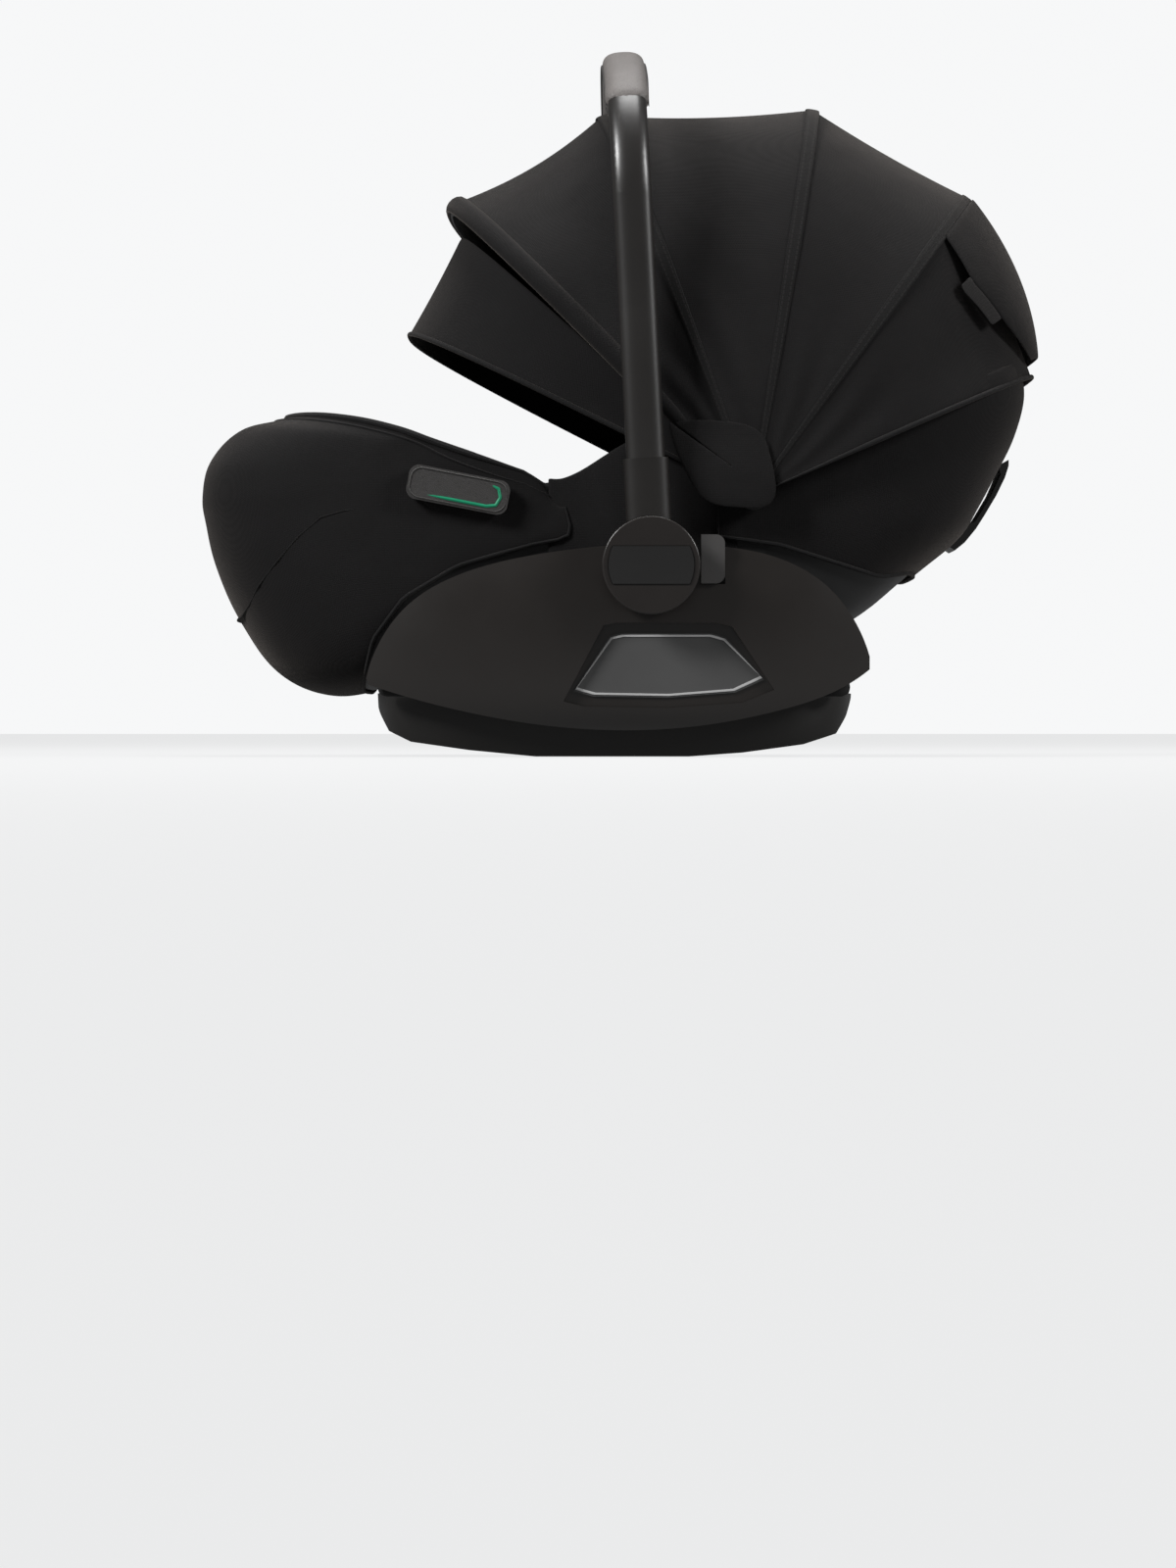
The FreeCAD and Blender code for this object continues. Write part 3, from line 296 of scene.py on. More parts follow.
# ---- Side fairings and their label plates ----------------
# Big leaf-shaped covers in satin brown-black ABS, screwed to the side plates from inside. Each has
# a sunk pocket that holds a printed plate; here the plate is plain, with a pale rim.
fairing_satin = plastic("fairing_satin", (0.0085, 0.0064, 0.0052), 0.33, grain=0.0012, depth=0.04, gloss=0.7)
finish_nodes(fairing_satin, "side_fairing_left", "side_fairing_right")
plate_face = plastic("plate_face", (0.06, 0.06, 0.06), 0.5, depth=0.05)
plate_rim = plastic("plate_rim", (0.42, 0.42, 0.42), 0.5, depth=0.05)
finish_nodes(plate_face, "label_plates")


def closed_strip(name, outline, inner, y0, y1, material, body):
    """A flat ring between two side-view outlines, from depth y0 to y1, with its edges eased."""
    count = len(outline)
    corners = [(x, y, z) for y in (y0, y1) for ring in (outline, inner) for x, z in ring]
    faces = []
    for k in range(count):
        n = (k + 1) % count
        faces.append((k, n, count + n, count + k))
        faces.append((2 * count + k, 3 * count + k, 3 * count + n, 2 * count + n))
        faces.append((k, 2 * count + k, 2 * count + n, n))
        faces.append((count + k, count + n, 3 * count + n, 3 * count + k))
    piece = add_mesh(name, corners, faces, material)
    settle(piece, bevel=0.00025)
    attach(piece, body)
    return piece


def trapezium(grow):
    """The plate's outline in side view, in metres."""
    half, low, high, middle = 0.074 + grow, 0.046 - grow, 0.096 + grow, 0.034
    return [
        (middle - half, low + 0.005), (middle - half * 0.62, high - 0.002), (middle - half * 0.5, high),
        (middle + half * 0.45, high), (middle + half * 0.6, high - 0.003), (middle + half, low + 0.014),
        (middle + half * 0.7, low + 0.004), (middle, low), (middle - half * 0.8, low + 0.001),
    ]


low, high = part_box("label_plates")
for side, y in (("left", low[1]), ("right", high[1])):
    outwards = math.copysign(1, y)
    rim = closed_strip("label_rim_" + side, trapezium(-0.0012), trapezium(-0.0028), y - 0.0002 * outwards,
                       y + 0.0006 * outwards, plate_rim, "carrier")


# ---- Handle: tube, knuckles and hubs ---------------------
# A bent aluminium tube in black powder coat, held in two moulded knuckles. Each hub is capped by
# a ring, and the band across it is the button that frees the handle.
powder_coat = plastic("powder_coat", (0.013, 0.0118, 0.011), 0.34, grain=0.0005, depth=0.12, gloss=0.6)
hub_plastic = plastic("hub_plastic", (0.012, 0.0108, 0.0100), 0.38, grain=0.0005, depth=0.15)
cap_plastic = plastic("cap_plastic", (0.013, 0.0108, 0.0098), 0.32, grain=0.0005, depth=0.1, gloss=0.5)
button_plastic = plastic("button_plastic", (0.0075, 0.0073, 0.0072), 0.5, grain=0.0004, depth=0.12)
tab_plastic = plastic("tab_plastic", (0.052, 0.05, 0.049), 0.55, depth=0.15)
finish_nodes(powder_coat, "handle_tube")
finish_nodes(hub_plastic, "handle_knuckle_left", "handle_knuckle_right")
finish_nodes(cap_plastic, "hub_cap_left", "hub_cap_right")
finish_nodes(button_plastic, "hub_button_left", "hub_button_right")
finish_nodes(tab_plastic, "release_tab_left", "release_tab_right")


# ---- Handle grip -----------------------------------------
# A padded sleeve of grey synthetic leather over the top of the handle, where the hand takes it.
# It is sewn shut by a raised seam along each edge, and bound at both ends.
def leather(name, colour):
    """Synthetic leather: fine pebbles, darker between them, over broad creases."""
    material, tree, shader = new_material(name)
    set_inputs(shader, {"Specular IOR Level": 0.4})
    place = make(tree, "TexCoord")
    pebbles = make(tree, "TexVoronoi", {"Scale": 720.0}, feature="DISTANCE_TO_EDGE")
    creases = make(tree, "TexNoise", {"Scale": 90.0, "Detail": 5.0})
    depth = make(tree, "MapRange", {"From Max": 0.12})
    bump = make(tree, "Bump", {"Strength": 0.4, "Distance": 0.0003})
    broad = make(tree, "Bump", {"Strength": 0.25, "Distance": 0.001})
    shade = make(tree, "Mix", {"A": tint(colour, 0.55), "B": tint(colour)}, data_type="RGBA")
    polish = make(tree, "MapRange", {"To Min": 0.42, "To Max": 0.62})
    wire(tree, (place, "Object", pebbles, "Vector"), (place, "Object", creases, "Vector"),
         (pebbles, "Distance", depth, "Value"), (creases, "Fac", broad, "Height"),
         (broad, "Normal", bump, "Normal"), (depth, "Result", bump, "Height"),
         (bump, "Normal", shader, "Normal"), (depth, "Result", shade, "Factor"),
         (shade, "Result", shader, "Base Color"), (creases, "Fac", polish, "Value"),
         (polish, "Result", shader, "Roughness"))
    return material


grip_leather = leather("grip_leather", (0.15, 0.138, 0.132))
finish_nodes(grip_leather, "handle_grip")

# ---- Canopy cloth ----------------------------------------
# The hood is four gores of black woven polyester, cut flat, sewn to the four spring bows and
# drawn tight, so each one sinks a little between its bows.
def cloth(name, colour, pitch=0.0013, sheen=0.25, crease=0.35, roughness=0.86):
    """A plain weave, made of waves along x, y and z that cross in pairs, with slow creases."""
    material, tree, shader = new_material(name)
    set_inputs(shader, {"Specular IOR Level": 0.22, "Sheen Weight": sheen, "Sheen Roughness": 0.45,
                        "Sheen Tint": (0.30, 0.265, 0.24, 1)})
    place = make(tree, "TexCoord")
    scale = make(tree, "VectorMath", {"Scale": 2 * math.pi / pitch}, operation="SCALE")
    wave = make(tree, "VectorMath", operation="SINE")
    parts = make(tree, "SeparateXYZ")
    wire(tree, (place, "Object", scale, 0), (scale, "Vector", wave, 0), (wave, "Vector", parts, "Vector"))
    weave = None
    for a, b in (("X", "Z"), ("Y", "Z"), ("X", "Y")):
        cross = make(tree, "Math", operation="MULTIPLY")
        wire(tree, (parts, a, cross, 0), (parts, b, cross, 1))
        if weave is None:
            weave = cross
            continue
        total = make(tree, "Math", operation="ADD")
        wire(tree, (weave, 0, total, 0), (cross, 0, total, 1))
        weave = total
    creases = make(tree, "TexNoise", {"Scale": 11.0, "Detail": 4.0, "Roughness": 0.45})
    broad = make(tree, "Bump", {"Strength": crease, "Distance": 0.01})
    bump = make(tree, "Bump", {"Strength": 0.35, "Distance": 0.0002})
    shade = make(tree, "MapRange", {"From Min": -1.0})
    tone = make(tree, "Mix", {"A": tint(colour, 0.6), "B": tint(colour, 1.25)}, data_type="RGBA")
    rough = make(tree, "MapRange", {"To Min": roughness - 0.06, "To Max": roughness + 0.08})
    wire(tree, (place, "Object", creases, "Vector"), (creases, "Fac", broad, "Height"),
         (weave, 0, bump, "Height"), (broad, "Normal", bump, "Normal"), (bump, "Normal", shader, "Normal"),
         (weave, 0, shade, "Value"), (shade, "Result", tone, "Factor"),
         (tone, "Result", shader, "Base Color"), (creases, "Fac", rough, "Value"),
         (rough, "Result", shader, "Roughness"))
    return material


def stitched(name, colour, thread, step=0.0042, length=0.0028, at=0.24):
    """Cloth tape with a row of stitches near each edge, in its own UV: metres along, a share across."""
    material = cloth(name, colour)
    tree = material.node_tree
    shader = tree.nodes["Principled BSDF"]
    place = make(tree, "TexCoord")
    parts = make(tree, "SeparateXYZ")
    turn = make(tree, "Math", {1: step}, operation="MODULO")
    along = make(tree, "Math", {1: length}, operation="LESS_THAN")
    fold = make(tree, "Math", {1: 0.5}, operation="PINGPONG")
    near = make(tree, "Math", {1: at, 2: 0.055}, operation="COMPARE")
    both = make(tree, "Math", operation="MULTIPLY")
    tone = make(tree, "Mix", {"B": tint(thread)}, data_type="RGBA")
    raised = make(tree, "Bump", {"Strength": 0.6, "Distance": 0.0005})
    tree.links.new(shader.inputs["Base Color"].links[0].from_socket, tone.inputs["A"])
    tree.links.new(shader.inputs["Normal"].links[0].from_socket, raised.inputs["Normal"])
    wire(tree, (place, "UV", parts, "Vector"), (parts, "X", turn, 0), (turn, 0, along, 0),
         (parts, "Y", fold, 0), (fold, 0, near, 0), (along, 0, both, 0), (near, 0, both, 1),
         (both, 0, tone, "Factor"), (tone, "Result", shader, "Base Color"),
         (both, 0, raised, "Height"), (raised, "Normal", shader, "Normal"))
    return material


hood_cloth = cloth("hood_cloth", (0.0040, 0.0037, 0.0040), sheen=0.30)
seam_tape = stitched("seam_tape", (0.0044, 0.0042, 0.0044), (0.010, 0.0095, 0.0095))
lining = cloth("hood_lining", (0.007, 0.007, 0.0075), crease=0.2)
bow_plastic = plastic("bow_plastic", (0.008, 0.008, 0.008), 0.5)
finish_nodes(bow_plastic, "canopy_bow_rear", "canopy_bow_third", "canopy_bow_second",
             "canopy_bow_front", "canopy_pins")

PIN = Vector((0.100, 0, 0.203))  # where the bows pivot
HALF = 0.190  # half the hood's width at its feet
FRAME = {  # the angle and the reach of each bow's arch
    "front": (134.9, 0.3415), "second": (110.6, 0.3355), "third": (80.7, 0.3230), "rear": (54.3, 0.3049),
}
HEM_ANGLE = 24.0


def arch(angle, reach, half, t):
    """A point of the arch in the plane at that angle, t from 0 at its left foot to 1."""
    a = math.radians(angle)
    s = math.pi * t
    r = reach * max(math.sin(s), 0.0) ** (2 / 3)
    c = math.cos(s)
    y = -half * math.copysign(abs(c) ** (2 / 3), c)
    return Vector((PIN.x + r * math.cos(a), y, PIN.z + r * math.sin(a)))


def even_arch(angle, reach, half, count, foot):
    """Evenly spaced points of an arch, which starts at foot, a share of its reach."""
    first = math.asin(foot ** 1.5) / math.pi
    return evenly([arch(angle, reach, half, first + (1 - 2 * first) * k / 600) for k in range(601)], count)


def grid_mesh(name, rows, material, thick, levels=1, inwards=PIN):
    """A sheet through rows of points, thickened inwards. Its UV is metres along, a share across."""
    count = len(rows[0])
    faces = [(r * count + k, r * count + k + 1, (r + 1) * count + k + 1, (r + 1) * count + k)
             for r in range(len(rows) - 1) for k in range(count - 1)]
    piece = add_mesh(name, [p for row in rows for p in row], faces, material)
    mesh = piece.data
    uv = mesh.uv_layers.new(name="UVMap")
    across = measured([row[count // 2] for row in rows])
    along = measured(rows[len(rows) // 2])
    for loop in mesh.loops:
        v = loop.vertex_index
        uv.data[loop.index].uv = (along[v % count], across[v // count] / max(across[-1], 1e-9))
    face = mesh.polygons[len(mesh.polygons) // 2]
    if face.normal.dot(face.center - inwards) < 0:
        mesh.flip_normals()
    pick(piece)
    apply(piece, "SOLIDIFY", thickness=thick, offset=-1)
    apply(piece, "SUBSURF", levels=levels, render_levels=levels)
    bpy.ops.object.shade_smooth_by_angle(angle=math.radians(50))
    piece.select_set(False)
    return piece


def gore(name, first, last, half, thick, sag, foot=0.075, folds=1.0):
    """One gore from frame to frame: it sinks between them most at the crown, and a few soft
    folds run from its foot towards the frames."""
    rows = 15
    a = even_arch(*first, half, ARCH_POINTS, foot)
    b = even_arch(*last, half, ARCH_POINTS, foot)
    lines = []
    for r in range(rows):
        v = r / (rows - 1)
        bow = 4 * v * (1 - v)
        line = []
        for k in range(ARCH_POINTS):
            u = k / (ARCH_POINTS - 1)
            p = a[k].lerp(b[k], v)
            high = math.sin(math.pi * u) ** 1.5
            near = min(u, 1 - u)
            fold = math.exp(-((near - 0.1) / 0.07) ** 2) * math.sin(v * 11 + 3 * near * 10) * 0.0016
            fold += math.exp(-((near - 0.27) / 0.08) ** 2) * math.sin(v * 7 + near * 19 + 1) * 0.0011
            rise = folds * fold * bow - sag * bow * (0.25 + 0.75 * high)
            line.append(p + (p - PIN).normalized() * rise)
        lines.append(line)
    return grid_mesh(name, lines, hood_cloth, thick)


HOOD = {}
for name, first, last, sag in (
    ("front", "front", "second", 0.0075),
    ("top", "second", "third", 0.004),
    ("back", "third", "rear", 0.0024),
):
    piece = gore("hood_gore_" + name, FRAME[first], FRAME[last], HALF, 0.0016, sag)
    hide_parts("canopy_panel_" + name)
    HOOD[name] = piece
rear_gore = gore("hood_gore_rear", FRAME["rear"], (HEM_ANGLE, 0.2515), HALF, 0.0016, 0.0015)
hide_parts("canopy_panel_rear")
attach(rear_gore, "seat")


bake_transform(HOOD["front"])
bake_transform(HOOD["top"])
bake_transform(HOOD["back"])


# ---- Hood seams ------------------------------------------
# Each bow runs in a sleeve of the same cloth, lapped over the two gores and stitched along both
# edges. At the front the sleeve is rolled round a foam cord, which makes the hood's thick brow.
def sleeve(name, bow, wide, proud, body):
    """A stitched band over a bow's arch, slightly crowned across its width."""
    angle, reach = FRAME[bow]
    middle = even_arch(angle, reach, HALF + 0.0002, ARCH_POINTS, 0.05)
    last = ARCH_POINTS - 1
    a = math.radians(angle)
    across = Vector((-math.sin(a), 0, math.cos(a)))
    lines = []
    for r in range(7):
        v = r / 6 - 0.5
        rise = proud * (1 - (2 * v) ** 4)
        line = []
        for k, p in enumerate(middle):
            taper = min(1.0, 0.35 + 3.0 * min(k, last - k) / last)
            line.append(p + across * v * wide * taper + (p - PIN).normalized() * rise)
        lines.append(line)
    piece = grid_mesh(name, lines, seam_tape, 0.0007)
    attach(piece, body)


sleeve("hood_seam_second", "second", 0.011, 0.0006, "second_bow")
sleeve("hood_seam_third", "third", 0.011, 0.0006, "third_bow")
sleeve("hood_seam_rear", "rear", 0.010, 0.0005, "seat")


def tube_mesh(name, rings, material):
    """A tube through rings of points, closed at both ends."""
    steps, last = len(rings[0]), len(rings) - 1
    faces = [
        (r * steps + k, r * steps + (k + 1) % steps, (r + 1) * steps + (k + 1) % steps, (r + 1) * steps + k)
        for r in range(last) for k in range(steps)
    ]
    faces += [tuple(range(steps))[::-1], tuple(last * steps + k for k in range(steps))]
    return add_mesh(name, [q for ring in rings for q in ring], faces, material)


def roll(name, line, wide, deep, material, body, axis=ACROSS, steps=14):
    """A soft cord along a line of points, oval in section, which thins towards both ends."""
    rings, side, last = [], None, len(line) - 1
    for k, p in enumerate(line):
        ahead = (line[min(k + 1, last)] - line[max(k - 1, 0)]).normalized()
        side = axis.cross(ahead) if side is None else side - ahead * side.dot(ahead)
        side.normalize()
        up = ahead.cross(side).normalized()
        taper = min(1.0, 0.3 + 6.0 * min(k, last - k) / len(line))
        ring = []
        for n in range(steps):
            a = 2 * math.pi * n / steps
            ring.append(p + side * math.cos(a) * wide / 2 * taper + up * math.sin(a) * deep / 2 * taper)
        rings.append(ring)
    piece = tube_mesh(name, rings, material)
    settle(piece)
    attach(piece, body)
    return piece


brow_line = even_arch(134.4, 0.3385, HALF - 0.0035, ARCH_POINTS, 0.1)
brow = roll("hood_brow", brow_line, 0.017, 0.011, hood_cloth, "front_bow")

# ---- Hood ears -------------------------------------------
# The front gore's lower corner is cut round and hangs over the pivot pin, where the bows meet.
# It is the same cloth, faced on the inside and top-stitched to the gore.
EAR = metres([
    (33, 262), (36, 246), (45, 224), (54, 207), (63, 198), (74, 194), (88, 193.5), (101, 192), (112, 194),
    (118, 203), (117, 216), (112, 240), (104, 262),
])
EAR_CORE = Vector((0.082, 0.226))
for side, word in ((-1, "left"), (1, "right")):
    ear_rows = []
    for r in range(10):
        share = max(1 - r / 9, 0.004)
        line = []
        for q in EAR + EAR[:1]:
            p = EAR_CORE.lerp(q, share)
            over = min(1.0, max(0.0, (0.262 - p.y) / 0.045))
            stand = 0.1904 + 0.0052 * over * over * (3 - 2 * over) - 0.0012 * share ** 8 * over
            line.append(Vector((p.x, side * stand, p.y)))
        ear_rows.append(line)
    within = Vector((0.08, 0, 0.22))
    ear = grid_mesh("hood_ear_" + word, ear_rows, hood_cloth, 0.0010, levels=2, inwards=within)
    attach(ear, "front_bow")

# ---- Sun visor -------------------------------------------
# A stiffened flap of the same cloth that swings out from under the brow, with a bound lower
# edge and a lining that catches no light.
visor = gore("visor_cloth", (137.0, 0.3170), (153.3, 0.3065), 0.1753, 0.0022, 0.001, foot=0.03, folds=0.3)
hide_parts("visor")
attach(visor, "visor")
binding_line = even_arch(153.3, 0.3062, 0.1750, ARCH_POINTS, 0.03)
binding = roll("visor_binding", binding_line, 0.0042, 0.0042, lining, "visor", steps=10)

# ---- Vent flap and its tag -------------------------------
# A loose double-layer flap hangs over the mesh vent in the rear gore, stitched down along its
# top. A small woven tag, here left bare, is sewn to its edge on the child's left.
FLAP_EDGE = [(0.0, 0.835), (0.35, 0.838), (0.7, 0.894), (1.0, 0.972)]
FLAP_TOP, FLAP_END = (53.6, 0.3049), (26.5, 0.2555)


def flap_foot(v):
    """The share of the flap's reach where its side edges lie, v from 0 at its top to 1."""
    for a, b in zip(FLAP_EDGE, FLAP_EDGE[1:]):
        if v <= b[0]:
            return a[1] + (b[1] - a[1]) * ((v - a[0]) / (b[0] - a[0]))


def flap_point(v, share, lift, right=False):
    """A point over the rear gore: v down it, share of its reach, lift off its cloth."""
    angle, reach = [a + (b - a) * v for a, b in zip(FLAP_TOP, FLAP_END)]
    t = math.asin(min(share, 1.0) ** 1.5) / math.pi
    p = arch(angle, reach, HALF, 1 - t if right else t)
    return p + (p - PIN).normalized() * lift


flap_rows = []
for r in range(17):
    v = r / 16
    foot_turn = math.asin(flap_foot(v) ** 1.5)
    line = []
    for k in range(49):
        u = 2 * k / 48 - 1
        a = math.pi / 2 - (math.pi / 2 - foot_turn) * abs(u)
        loft = 0.0020 + 0.0045 * math.sin(math.pi * v * 0.62) * (1 - abs(u) ** 5) + 0.0016 * v
        line.append(flap_point(v, math.sin(a) ** (2 / 3), loft, u > 0))
    flap_rows.append(line)
flap = grid_mesh("vent_flap_cloth", flap_rows, hood_cloth, 0.0014)
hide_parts("vent_flap")
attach(flap, "seat")

tag_tape = cloth("woven_tag", (0.012, 0.0115, 0.0115), pitch=0.0007, sheen=0.3, crease=0.0)
tag_rows = []
for r in range(13):
    v = 0.30 + 0.36 * r / 12
    tag_rows.append([flap_point(v, flap_foot(v) - 0.036 * k / 4, 0.0028 - 0.0010 * k / 4) for k in range(5)])
tag = grid_mesh("woven_tag", tag_rows, tag_tape, 0.0006)
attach(tag, "seat")

# ---- Bucket shell and foam liner -------------------------
# The shell is a single blow-moulded tub in grained black plastic. The liner inside it is moulded
# bead foam, which shows only as a thin edge under the pad.
shell_plastic = plastic("shell_plastic", (0.014, 0.014, 0.0142), 0.52, grain=0.0009, depth=0.25)
bead_foam = plastic("bead_foam", (0.018, 0.018, 0.018), 0.85, grain=0.003, depth=0.4, gloss=0.2)
guide_plastic = plastic("guide_plastic", (0.011, 0.011, 0.011), 0.4, depth=0.12)
finish_nodes(shell_plastic, "bucket_shell")
finish_nodes(bead_foam, "foam_liner")
finish_nodes(guide_plastic, "rear_belt_guide", "adjuster_housing", "adjuster_button", "buckle_body")
finish_nodes(plastic("release_red", (0.42, 0.012, 0.01), 0.35, depth=0.05), "buckle_button")


# ---- Foot cover and back cover ---------------------------
# Two covers of the hood's cloth, elasticated and hooked over the shell's edge. The foot cover
# has a curved seam across its front and piping along the rim. The back cover runs up under the
# hood and ends in a hem.
OUTLINE = [
    (-261, 273), (-306, 260), (-331, 234), (-337, 206), (-334, 186), (-325.5, 150), (-303, 102), (-274, 65),
    (-236, 49.5), (-190, 54), (-120, 53), (-45, 53), (10, 51), (80, 60), (150, 88), (199, 116), (239, 150),
    (268, 175), (282, 197), (297, 226), (311, 254), (320, 284), (318, 306), (307, 332), (291, 360),
    (268, 398), (200, 440), (100, 430), (-50, 385), (-180, 315),
]
RIM = [
    (-345, 268), (-261, 269.5), (-214, 265), (-176, 256), (-147, 245.5), (-109, 233), (-62, 219),
    (-40, 222), (-4, 244), (34, 264), (100, 312), (190, 356), (240, 368), (345, 372),
]


def smooth_line(points, per, closed=False):
    """A smooth line through side-view points, in metres."""
    out, count = [], len(points)
    for k in range(count if closed else count - 1):
        if closed:
            four = [points[(k + j) % count] for j in (-1, 0, 1, 2)]
        else:
            four = [points[min(max(k + j, 0), count - 1)] for j in (-1, 0, 1, 2)]
        for n in range(per):
            t = n / per
            out.append(Vector([
                0.0005 * (2 * b + (c - a) * t + (2 * a - 5 * b + 4 * c - d) * t * t
                          + (3 * b - a - 3 * c + d) * t ** 3)
                for a, b, c, d in zip(*four)
            ]))
    if not closed:
        out.append(Vector(points[-1]) * 0.001)
    return out


BUCKET_LINE = smooth_line(OUTLINE, 14, closed=True)
RIM_LINE = smooth_line(RIM, 8)
CENTRE = Vector((-0.010, 0.225))  # the outline is scaled round this point, in side view
CENTRE_3D = Vector((-0.01, 0, 0.225))
SIDE = 0.172  # half the bucket's width
FLAT = 0.985  # the share of it where the flanks are flat


def fullness(f):
    """The share of the bucket's half width where its side outline is scaled by f."""
    return (1 - f ** 5) ** 0.2


def depth_at(f, grow=0.0):
    """How far out the bucket's skin is where its side outline is scaled by f."""
    return min(fullness(min(max(f, 0.0), 1.0)), FLAT) * SIDE + grow


def inside(p, polygon):
    hit = False
    for a, b in zip(polygon, polygon[1:] + polygon[:1]):
        if (a[1] > p[1]) != (b[1] > p[1]) and p[0] < a[0] + (p[1] - a[1]) * (b[0] - a[0]) / (b[1] - a[1]):
            hit = not hit
    return hit


def crossing(a, b, region):
    """Where the line from a, outside a region, to b, inside it, enters the region."""
    for _ in range(24):
        m = (a + b) / 2
        if inside(m, region):
            b = m
        else:
            a = m
    return (a + b) / 2


def cover_rows(region, grow, columns):
    """Arcs of the bucket's skin inside a side-view region, from one flank to the other."""
    scales = [1 - 0.0016 * k * k for k in range(0, 12)]
    while scales[-1] > 0.1:
        scales.append(scales[-1] - 0.022)
    half_rows = []
    for f in scales:
        loop = [CENTRE + (q - CENTRE) * f for q in BUCKET_LINE]
        flags = [inside(q, region) for q in loop]
        if all(flags) or not any(flags):
            continue
        count = len(loop)
        best = []
        for k in range(count):
            if flags[k] and not flags[k - 1]:
                run = [k]
                while flags[(run[-1] + 1) % count]:
                    run.append((run[-1] + 1) % count)
                if len(run) > len(best):
                    best = run
        start = crossing(loop[best[0] - 1], loop[best[0]], region)
        end = crossing(loop[(best[-1] + 1) % count], loop[best[-1]], region)
        line = [start] + [loop[k] for k in best] + [end]
        if measured(line)[-1] < 0.010:
            continue
        deep = depth_at(f)
        deep += grow * max(0.0, (deep / SIDE - 0.6) / 0.385) ** 2
        half_rows.append([(q + (q - CENTRE).normalized() * grow * f, deep) for q in evenly(line, columns)])
    left, right = [[[Vector((q.x, side * deep, q.y)) for q, deep in row] for row in half_rows]
                   for side in (-1, 1)]
    return left[::-1] + right[1:]


def soften(rows, amount):
    """Small irregular folds, and a slight swell between the edges of a cover."""
    for r, row in enumerate(rows):
        for k, p in enumerate(row):
            v, u = r / (len(rows) - 1), k / (len(row) - 1)
            swell = (4 * u * (1 - u)) ** 0.5 * min(1.0, 12 * v * (1 - v))
            fold = math.sin(p.x * 61 + p.z * 37 + p.y * 9) * 0.4 + math.sin(p.x * 113 - p.z * 71 + 2) * 0.2
            out = Vector((p.x - CENTRE.x, 0, p.z - CENTRE.y)).normalized() * (1 - (abs(p.y) / SIDE) ** 6)
            out.y = math.copysign((abs(p.y) / SIDE) ** 6, p.y)
            row[k] = p + out * amount * (swell + 0.5 * fold * swell)
    return rows


foot_region = metres([
    (-214, 30), (-204, 62), (-196, 92), (-172, 124), (-130, 149), (-72, 166), (-44, 171), (-42, 180),
    (-46, 196), (-56, 209), (-70, 218),
]) + [q for q in reversed(RIM_LINE) if q.x < -0.073] + [Vector((-0.4, 0.268)), Vector((-0.4, 0.03))]
foot_rows = soften(cover_rows(foot_region, 0.0006, 61), 0.0018)
foot = grid_mesh("foot_cover_cloth", foot_rows, hood_cloth, 0.0024, inwards=CENTRE_3D)
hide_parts("foot_cover")
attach(foot, "seat")

back_region = metres([
    (72, 172), (121, 165), (166, 151), (200, 141), (224, 145), (250, 138), (272, 150), (400, 160),
    (400, 354), (98, 216), (72, 204),
])
back_rows = soften(cover_rows(back_region, 0.0006, 41), 0.0016)
back = grid_mesh("back_cover_cloth", back_rows, hood_cloth, 0.0024, inwards=CENTRE_3D)
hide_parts("back_cover")
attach(back, "seat")


def along_rows(rows, depth, last=False):
    """The line at a given depth in from the first or last edge of a cover."""
    line = []
    for row in rows:
        way = row[::-1] if last else row
        gone = 0.0
        for a, b in zip(way, way[1:]):
            step = (b - a).length
            if gone + step >= depth:
                line.append(a.lerp(b, (depth - gone) / step))
                break
            gone += step
        else:
            line.append(way[len(way) // 2])
    return line


piping_cloth = cloth("piping_cloth", (0.0075, 0.0075, 0.008), pitch=0.0009)
first_end = foot_rows[len(foot_rows) // 2][0].z > foot_rows[len(foot_rows) // 2][-1].z
for name, rows, depth, last, wide in (
    ("foot_rim_piping", foot_rows, 0.0006, not first_end, 0.0052),
    ("foot_cover_seam_rim", foot_rows, 0.0105, not first_end, 0.0018),
    ("foot_cover_hem", foot_rows, 0.0007, first_end, 0.0034),
    ("back_cover_hem_lower", back_rows, 0.0007, False, 0.0036),
):
    line = along_rows(rows, depth, last)
    trim = roll(name, line, wide, wide, piping_cloth, "seat", UPRIGHT, steps=8)

hem_line = even_arch(HEM_ANGLE, 0.2519, HALF, ARCH_POINTS, 0.075)
hood_hem = roll("hood_hem", hem_line, 0.0040, 0.0034, piping_cloth, "seat", steps=10)


def rim_height(x):
    """The height of the bucket's rim at a place along it, in metres."""
    for a, b in zip(RIM_LINE, RIM_LINE[1:]):
        if a.x <= x <= b.x:
            return a.y + (b.y - a.y) * (x - a.x) / (b.x - a.x)
    return RIM_LINE[-1].y


